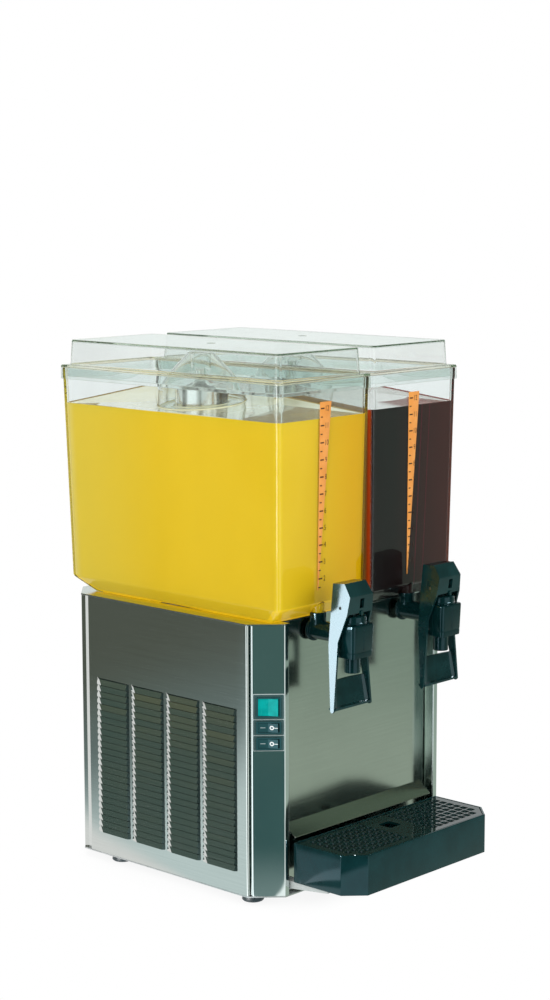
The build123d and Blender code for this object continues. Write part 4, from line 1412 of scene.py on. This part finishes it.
def mark(name, node, body, shapes, mat):
    """Printed mark: flat outlines laid on the rocker's face, a hair thick."""
    mb = MB()
    for ring_out, ring_in in shapes:
        top_o, bot_o = [], []
        for u, z in ring_out:
            loc, nor = hit(node, u, z)
            top_o.append(loc + nor * 0.00010)
            bot_o.append(loc - nor * 0.00005)
        a, b = mb.pts(top_o), mb.pts(bot_o)
        mb.bridge(a, b)
        if ring_in:
            top_i, bot_i = [], []
            for u, z in ring_in:
                loc, nor = hit(node, u, z)
                top_i.append(loc + nor * 0.00010)
                bot_i.append(loc - nor * 0.00005)
            c, d = mb.pts(top_i), mb.pts(bot_i)
            mb.bridge(c, d)
            mb.bridge(a, c)
            mb.bridge(b, d)
        else:
            mb.face(a)
            mb.face(list(reversed(b)))
    o = build(name, mb, [mat], 30)
    return put(o, body, "switch_black")


def ring_uv(u, z, r, n=24):
    return [(u + r * math.cos(2 * math.pi * k / n), z + r * math.sin(2 * math.pi * k / n)) for k in range(n)]


def bar_uv(u0, u1, z, h, n=5):
    lo = [(u0 + (u1 - u0) * k / n, z - h / 2) for k in range(n + 1)]
    hi = [(u1 - (u1 - u0) * k / n, z + h / 2) for k in range(n + 1)]
    return lo + hi


for sw, z in (("left", 227.1), ("right", 207.0)):
    mark(sw + "_rocker_off_mark", sw + "_rocker", sw + "_switch", [(ring_uv(7.2, z, 2.7), ring_uv(7.2, z, 1.35)),
                                                                 (bar_uv(10.1, 14.4, z, 0.8), None)], M["print_white"])
    mark(sw + "_rocker_on_mark", sw + "_rocker", sw + "_switch", [(bar_uv(-6.8, -0.6, z, 0.8), None)], M["print_grey"])

# ==================================================== finishes of carried parts
REPLACED = {n for n, o in nodes.items() if o.hide_render}
for n, o in nodes.items():
    if n in REPLACED:
        continue
    slot = SLOT[n]
    mat = M[slot]
    if n in ("left_rocker", "right_rocker"):
        mat = M["switch_rocker"]
    if n.endswith("_tap_lever"):
        mat = M["lever_black"]
    if n == "splash_plate":
        mat = M["front_steel"]
    if n.endswith("_lever_pin"):
        mat = M["pin_steel"]
    o.data.materials.clear()
    o.data.materials.append(mat)
    for f in o.data.polygons:
        f.material_index = 0

ROUND = {"top_deck": 0.5, "base_pan": 0.4, "rubber_feet": 0.8, "splash_plate": 0.35, "switch_plate": 0.25, "switch_housings": 0.45,
         "main_rocker": 0.6, "left_rocker": 0.5, "right_rocker": 0.5, "tray_brackets": 0.6, "cord_gland": 0.8,
         "left_tap_lever": 0.7, "right_tap_lever": 0.7, "left_lever_pin": 0.4, "right_lever_pin": 0.4, "panel_screws": 0.35,
         "left_tap_stem": 0.4, "right_tap_stem": 0.4, "left_bowl_seal": 0.5, "right_bowl_seal": 0.5, "compressor": 0.8,
         "fan_motor": 0.6, "thermostat": 0.6}
for n, w in ROUND.items():
    if n not in REPLACED:
        soften(nodes[n], w, 3)

# ====================================================================== camera
yaw, pitch, roll = math.radians(47.112), math.radians(8.440), math.radians(-0.143)
fwd = Vector((math.sin(yaw) * math.cos(pitch), math.cos(yaw) * math.cos(pitch), -math.sin(pitch)))
right = Vector((math.cos(yaw), -math.sin(yaw), 0.0))
up = right.cross(fwd)
R = right * math.cos(roll) + up * math.sin(roll)
U = up * math.cos(roll) - right * math.sin(roll)
cam = bpy.data.cameras.new("camera")
cam.sensor_width = 36.0
cam.lens = 76.90
cam.clip_start, cam.clip_end = 0.05, 60.0
co = bpy.data.objects.new("camera", cam)
m = Matrix((R, U, -fwd)).transposed().to_4x4()
m.translation = Vector((-2.0258, -1.8637, 0.8873))
co.matrix_world = m
scene.collection.objects.link(co)
scene.camera = co

# ================================================================ studio light
FX, FY = math.sin(yaw), math.cos(yaw)        # away from the camera, level
w = bpy.data.worlds.new("studio")
scene.world = w
w.use_nodes = True
g = G(w.node_tree)
lp = g.n("ShaderNodeLightPath")
tc = g.n("ShaderNodeTexCoord")
sep = g.n("ShaderNodeSeparateXYZ")
g.link(tc.outputs["Generated"], sep.inputs[0])
dx, dy, dz = sep.outputs
u = g.m("ADD", g.m("MULTIPLY", dx, FX), g.m("MULTIPLY", dy, FY))
v = g.m("SUBTRACT", g.m("MULTIPLY", dx, FY), g.m("MULTIPLY", dy, FX))
az = g.m("MULTIPLY", g.m("ARCTAN2", v, u), 180.0 / math.pi)      # 0 behind the object, + right, - left


def window(x, a, b, s):
    return g.m("MULTIPLY", g.ramp(x, a - s, a + s), g.ramp(x, b - s, b + s, 1.0, 0.0))


def layer(base, fac, col):
    return g.mix(fac, base, col)


patch = g.noise(g.scaled(tc.outputs["Generated"], 9.0, 9.0, 26.0), 1.0, 1.0)
sky = g.mix(g.ramp(dz, -0.1, 0.7), (0.060, 0.090, 0.082), (0.16, 0.17, 0.14))
sky = layer(sky, window(az, 40.0, 106.0, 8.0), (0.115, 0.145, 0.11))
sky = layer(sky, window(az, -118.0, -70.0, 4.0), g.mix(g.ramp(dz, 0.096, 0.113), (0.068, 0.112, 0.098), g.mix(g.ramp(patch, 0.40, 0.60), (0.135, 0.150, 0.092), (0.200, 0.200, 0.105))))
sky = layer(sky, g.m("MULTIPLY", window(az, -158.0, -118.0, 3.0), window(dz, -0.3, 0.36, 0.05)), (1.9, 2.0, 2.05))
sky = layer(sky, g.m("MULTIPLY", window(az, 110.0, 158.0, 4.0), window(dz, -0.3, 0.45, 0.06)), (1.15, 1.22, 1.2))
sky = layer(sky, g.m("MULTIPLY", window(az, -71.0, 66.0, 4.0), g.ramp(dz, -0.4, -0.2)), (1.0, 1.0, 1.0))
sky = layer(sky, g.m("MULTIPLY", window(az, -44.0, 44.0, 6.0), window(dz, 0.03, 0.28, 0.03)), (0.80, 0.86, 0.84))
sky = layer(sky, g.m("MULTIPLY", window(az, -84.0, 84.0, 8.0), g.ramp(dz, 0.40, 0.54)), (0.105, 0.148, 0.108))
sky = layer(sky, g.m("MULTIPLY", window(az, -92.0, -2.0, 4.0), g.ramp(dz, 0.48, 0.60)), (0.022, 0.034, 0.030))
sky = layer(sky, g.ramp(dz, 0.80, 0.93), (0.05, 0.07, 0.06))
# seen through the clear mouldings: pale, and in pale and dark streaks where steel inside mirrors it
streak = g.ramp(g.m("COSINE", g.m("MULTIPLY", az, 7.0 * math.pi / 180.0)), -0.75, -0.15)
inner = g.mix(streak, (0.22, 0.235, 0.215), (1.0, 1.02, 1.0))
pale = g.mix(g.m("GREATER_THAN", lp.outputs["Glossy Depth"], 0.5), (0.86, 0.91, 0.88), inner)
through = g.m("GREATER_THAN", lp.outputs["Transmission Depth"], 0.5)
sky = g.mix(g.m("MULTIPLY", through, 0.75), sky, pale)
dome = g.mix(g.ramp(dz, -0.2, 0.8), (0.72, 0.74, 0.74), (1.0, 1.0, 1.0))
after = g.m("GREATER_THAN", lp.outputs["Diffuse Depth"], 0.5)
light = g.mix(after, sky, dome)
col = g.mix(lp.outputs["Is Camera Ray"], light, (1.0, 1.0, 1.0))
bg = g.n("ShaderNodeBackground")
g.link(col, bg.inputs["Color"])
wo = g.n("ShaderNodeOutputWorld")
g.link(bg.outputs[0], wo.inputs["Surface"])
w.cycles.sampling_method = "NONE"


def area(name, at, to, size, power, col=(1, 1, 1)):
    l = bpy.data.lights.new(name, "AREA")
    l.shape = "RECTANGLE"
    l.size, l.size_y = size
    l.energy = power
    l.color = col
    o = bpy.data.objects.new(name, l)
    o.location = at
    o.rotation_euler = (Vector(to) - Vector(at)).to_track_quat("-Z", "Y").to_euler()
    o.visible_glossy = False
    o.visible_transmission = False
    o.visible_camera = False
    scene.collection.objects.link(o)
    return o


area("key_left", (-2.6, -0.9, 1.5), (0, 0, 0.4), (1.6, 1.6), 26.0, (1.0, 0.99, 0.97))
area("fill_front", (0.6, -2.8, 1.3), (0, 0, 0.4), (1.8, 1.4), 22.0)
area("top", (0.2, 0.3, 2.6), (0, 0, 0.3), (1.8, 1.8), 16.0)
# a soft strip to the left that shines only on the tap mouldings
strip = area("tap_strip", (-1.25, 0.86, 0.40), (-0.11, -0.19, 0.33), (1.1, 0.8), 44.0, (0.92, 0.97, 1.0))
strip.visible_glossy = True
shiny = bpy.data.collections.new("tap_mouldings")
for o in scene.objects:
    if o.type == "MESH" and ("tap_lever" in o.name or "tap_valve" in o.name or "tap_collar" in o.name):
        shiny.objects.link(o)
strip.light_linking.receiver_collection = shiny
# an upright strip to the left that draws a light line down the corners of the bowls and lids
line = area("corner_strip", (-2.15, 0.13, 0.45), (-0.17, -0.12, 0.45), (1.0, 0.9), 16.0)
line.visible_glossy = True
corners = bpy.data.collections.new("clear_mouldings")
for o in scene.objects:
    if o.type == "MESH" and ("bowl_shell" in o.name or "lid_shell" in o.name):
        corners.objects.link(o)
line.light_linking.receiver_collection = corners
# small bright panels that pick out the edges of the black mouldings
gloss = bpy.data.collections.new("black_mouldings")
for o in scene.objects:
    if o.type == "MESH" and any(k in o.name for k in ("tap_", "drip_tray", "rubber_feet")):
        gloss.objects.link(o)
holes = bpy.data.collections.new("grid_mouldings")
for o in scene.objects:
    if o.type == "MESH" and "drip_grid" in o.name:
        holes.objects.link(o)
for n, at, to, size, power, coll in (("edge_left", (-1.75, 0.02, 0.55), (-0.1, -0.18, 0.3), (0.5, 0.8), 120.0, gloss),
                                     ("edge_front", (0.75, -1.9, 1.25), (0.0, -0.2, 0.3), (0.9, 0.35), 60.0, gloss),
                                     ("grid_glint", (-0.05, -0.28, 1.55), (0.0, -0.19, 0.08), (0.2, 0.2), 18.0, holes)):
    l = area(n, at, to, size, power)
    l.visible_glossy = True
    l.visible_diffuse = False
    l.light_linking.receiver_collection = coll

# ======================================================================= floor
fm = bpy.data.materials.new("pale_floor")
fm.use_nodes = True
g = G(fm.node_tree)
lp = g.n("ShaderNodeLightPath")
geo = g.n("ShaderNodeNewGeometry")
sep = g.n("ShaderNodeSeparateXYZ")
g.link(geo.outputs["Position"], sep.inputs[0])
px, py, _z = sep.outputs
dif = g.n("ShaderNodeBsdfDiffuse")
dif.inputs["Color"].default_value = (0.97, 0.97, 0.97, 1.0)
far = g.n("ShaderNodeEmission")
far.inputs["Color"].default_value = (1.0, 1.0, 1.0, 1.0)
ex = g.m("MAXIMUM", g.m("SUBTRACT", g.m("ABSOLUTE", px), 0.165), 0.0)
ey = g.m("MAXIMUM", g.m("SUBTRACT", g.m("ABSOLUTE", g.m("SUBTRACT", py, 0.045)), 0.165), 0.0)
away = g.m("SQRT", g.m("ADD", g.m("MULTIPLY", ex, ex), g.m("MULTIPLY", ey, ey)))
seen = g.n("ShaderNodeMixShader")
g.link(g.ramp(away, 0.0, 0.08, 0.85, 1.0), seen.inputs[0])
g.link(dif.outputs[0], seen.inputs[1])
g.link(far.outputs[0], seen.inputs[2])
# what polished steel mirrors: a pale table to the left, shade towards the viewer, bright strips between
cx, cy_ = g.m("ADD", px, 0.166), g.m("ADD", py, 0.120)
fu = g.m("ADD", g.m("MULTIPLY", cx, FX), g.m("MULTIPLY", cy_, FY))
fv = g.m("SUBTRACT", g.m("MULTIPLY", cx, FY), g.m("MULTIPLY", cy_, FX))
faz = g.m("MULTIPLY", g.m("ARCTAN2", fv, fu), 180.0 / math.pi)
reach = g.m("SQRT", g.m("ADD", g.m("MULTIPLY", fu, fu), g.m("MULTIPLY", fv, fv)))
gl = g.mix(g.ramp(reach, 0.03, 0.26), (0.20, 0.29, 0.28), g.mix(g.ramp(reach, 0.45, 1.0), (0.052, 0.122, 0.118), (0.070, 0.142, 0.130)))
gl = layer(gl, window(faz, 28.0, 108.0, 4.0), g.mix(g.ramp(reach, 0.6, 1.6), (0.41, 0.49, 0.42), (0.295, 0.385, 0.325)))
gl = layer(gl, window(faz, -118.0, -44.0, 3.0), g.mix(g.ramp(py, 0.13, 0.60), (0.75, 0.88, 0.89),
                                                         g.mix(g.ramp(py, 0.50, 1.05), (0.19, 0.25, 0.245), (0.108, 0.122, 0.098))))
gl = layer(gl, window(faz, -62.0, 30.0, 4.0), (1.0, 1.0, 1.0))
gl = layer(gl, window(faz, -158.0, -118.0, 3.0), (1.9, 2.0, 2.05))
gl = layer(gl, window(faz, 110.0, 158.0, 4.0), (1.15, 1.22, 1.2))
gl = g.mix(g.m("MULTIPLY", g.m("GREATER_THAN", lp.outputs["Transmission Depth"], 0.5), 0.75), gl, (0.86, 0.91, 0.88))
gle = g.n("ShaderNodeEmission")
g.link(gl, gle.inputs["Color"])
amb = g.n("ShaderNodeEmission")
amb.inputs["Color"].default_value = (0.80, 0.80, 0.80, 1.0)
gp = g.n("ShaderNodeMixShader")
g.link(g.m("GREATER_THAN", lp.outputs["Diffuse Depth"], 0.5), gp.inputs[0])
g.link(gle.outputs[0], gp.inputs[1])
g.link(amb.outputs[0], gp.inputs[2])
plain = g.n("ShaderNodeMixShader")
straight = g.m("LESS_THAN", g.m("ADD", lp.outputs["Diffuse Depth"], lp.outputs["Glossy Depth"]), 0.5)
g.link(straight, plain.inputs[0])
g.link(gp.outputs[0], plain.inputs[1])
g.link(seen.outputs[0], plain.inputs[2])
fo = g.n("ShaderNodeOutputMaterial")
g.link(plain.outputs[0], fo.inputs["Surface"])
mb = MB()
ring0 = mb.pts([Vector((0.0, 0.0, -0.0004))])
rings = [mb.pts([Vector((r * math.cos(2 * math.pi * k / 64), r * math.sin(2 * math.pi * k / 64), -0.0004)) for k in range(64)])
         for r in (0.6, 3.0, 14.0)]
for k in range(64):
    mb.face((ring0[0], rings[0][k], rings[0][(k + 1) % 64]))
mb.bridge(rings[0], rings[1])
mb.bridge(rings[1], rings[2])
floor = build("floor", mb, [fm], 30, recalc=False)
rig.stage(floor)

# ============================================================ picture settings
scene.view_settings.view_transform = "Standard"
scene.view_settings.look = "None"
scene.view_settings.exposure = 0.0
scene.view_settings.gamma = 1.0
cy = scene.cycles
cy.max_bounces = 96
cy.transmission_bounces = 96
cy.glossy_bounces = 96
cy.diffuse_bounces = 4
cy.transparent_max_bounces = 24
cy.sample_clamp_indirect = 6.0
cy.blur_glossy = 0.3
cy.use_denoising = True

bpy.context.view_layer.update()
VIS_BOX = [[float(c) for c in v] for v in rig.bounds()]
with open("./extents.json", "w") as f:
    json.dump({"cad": CAD_BOX, "visual": VIS_BOX}, f)
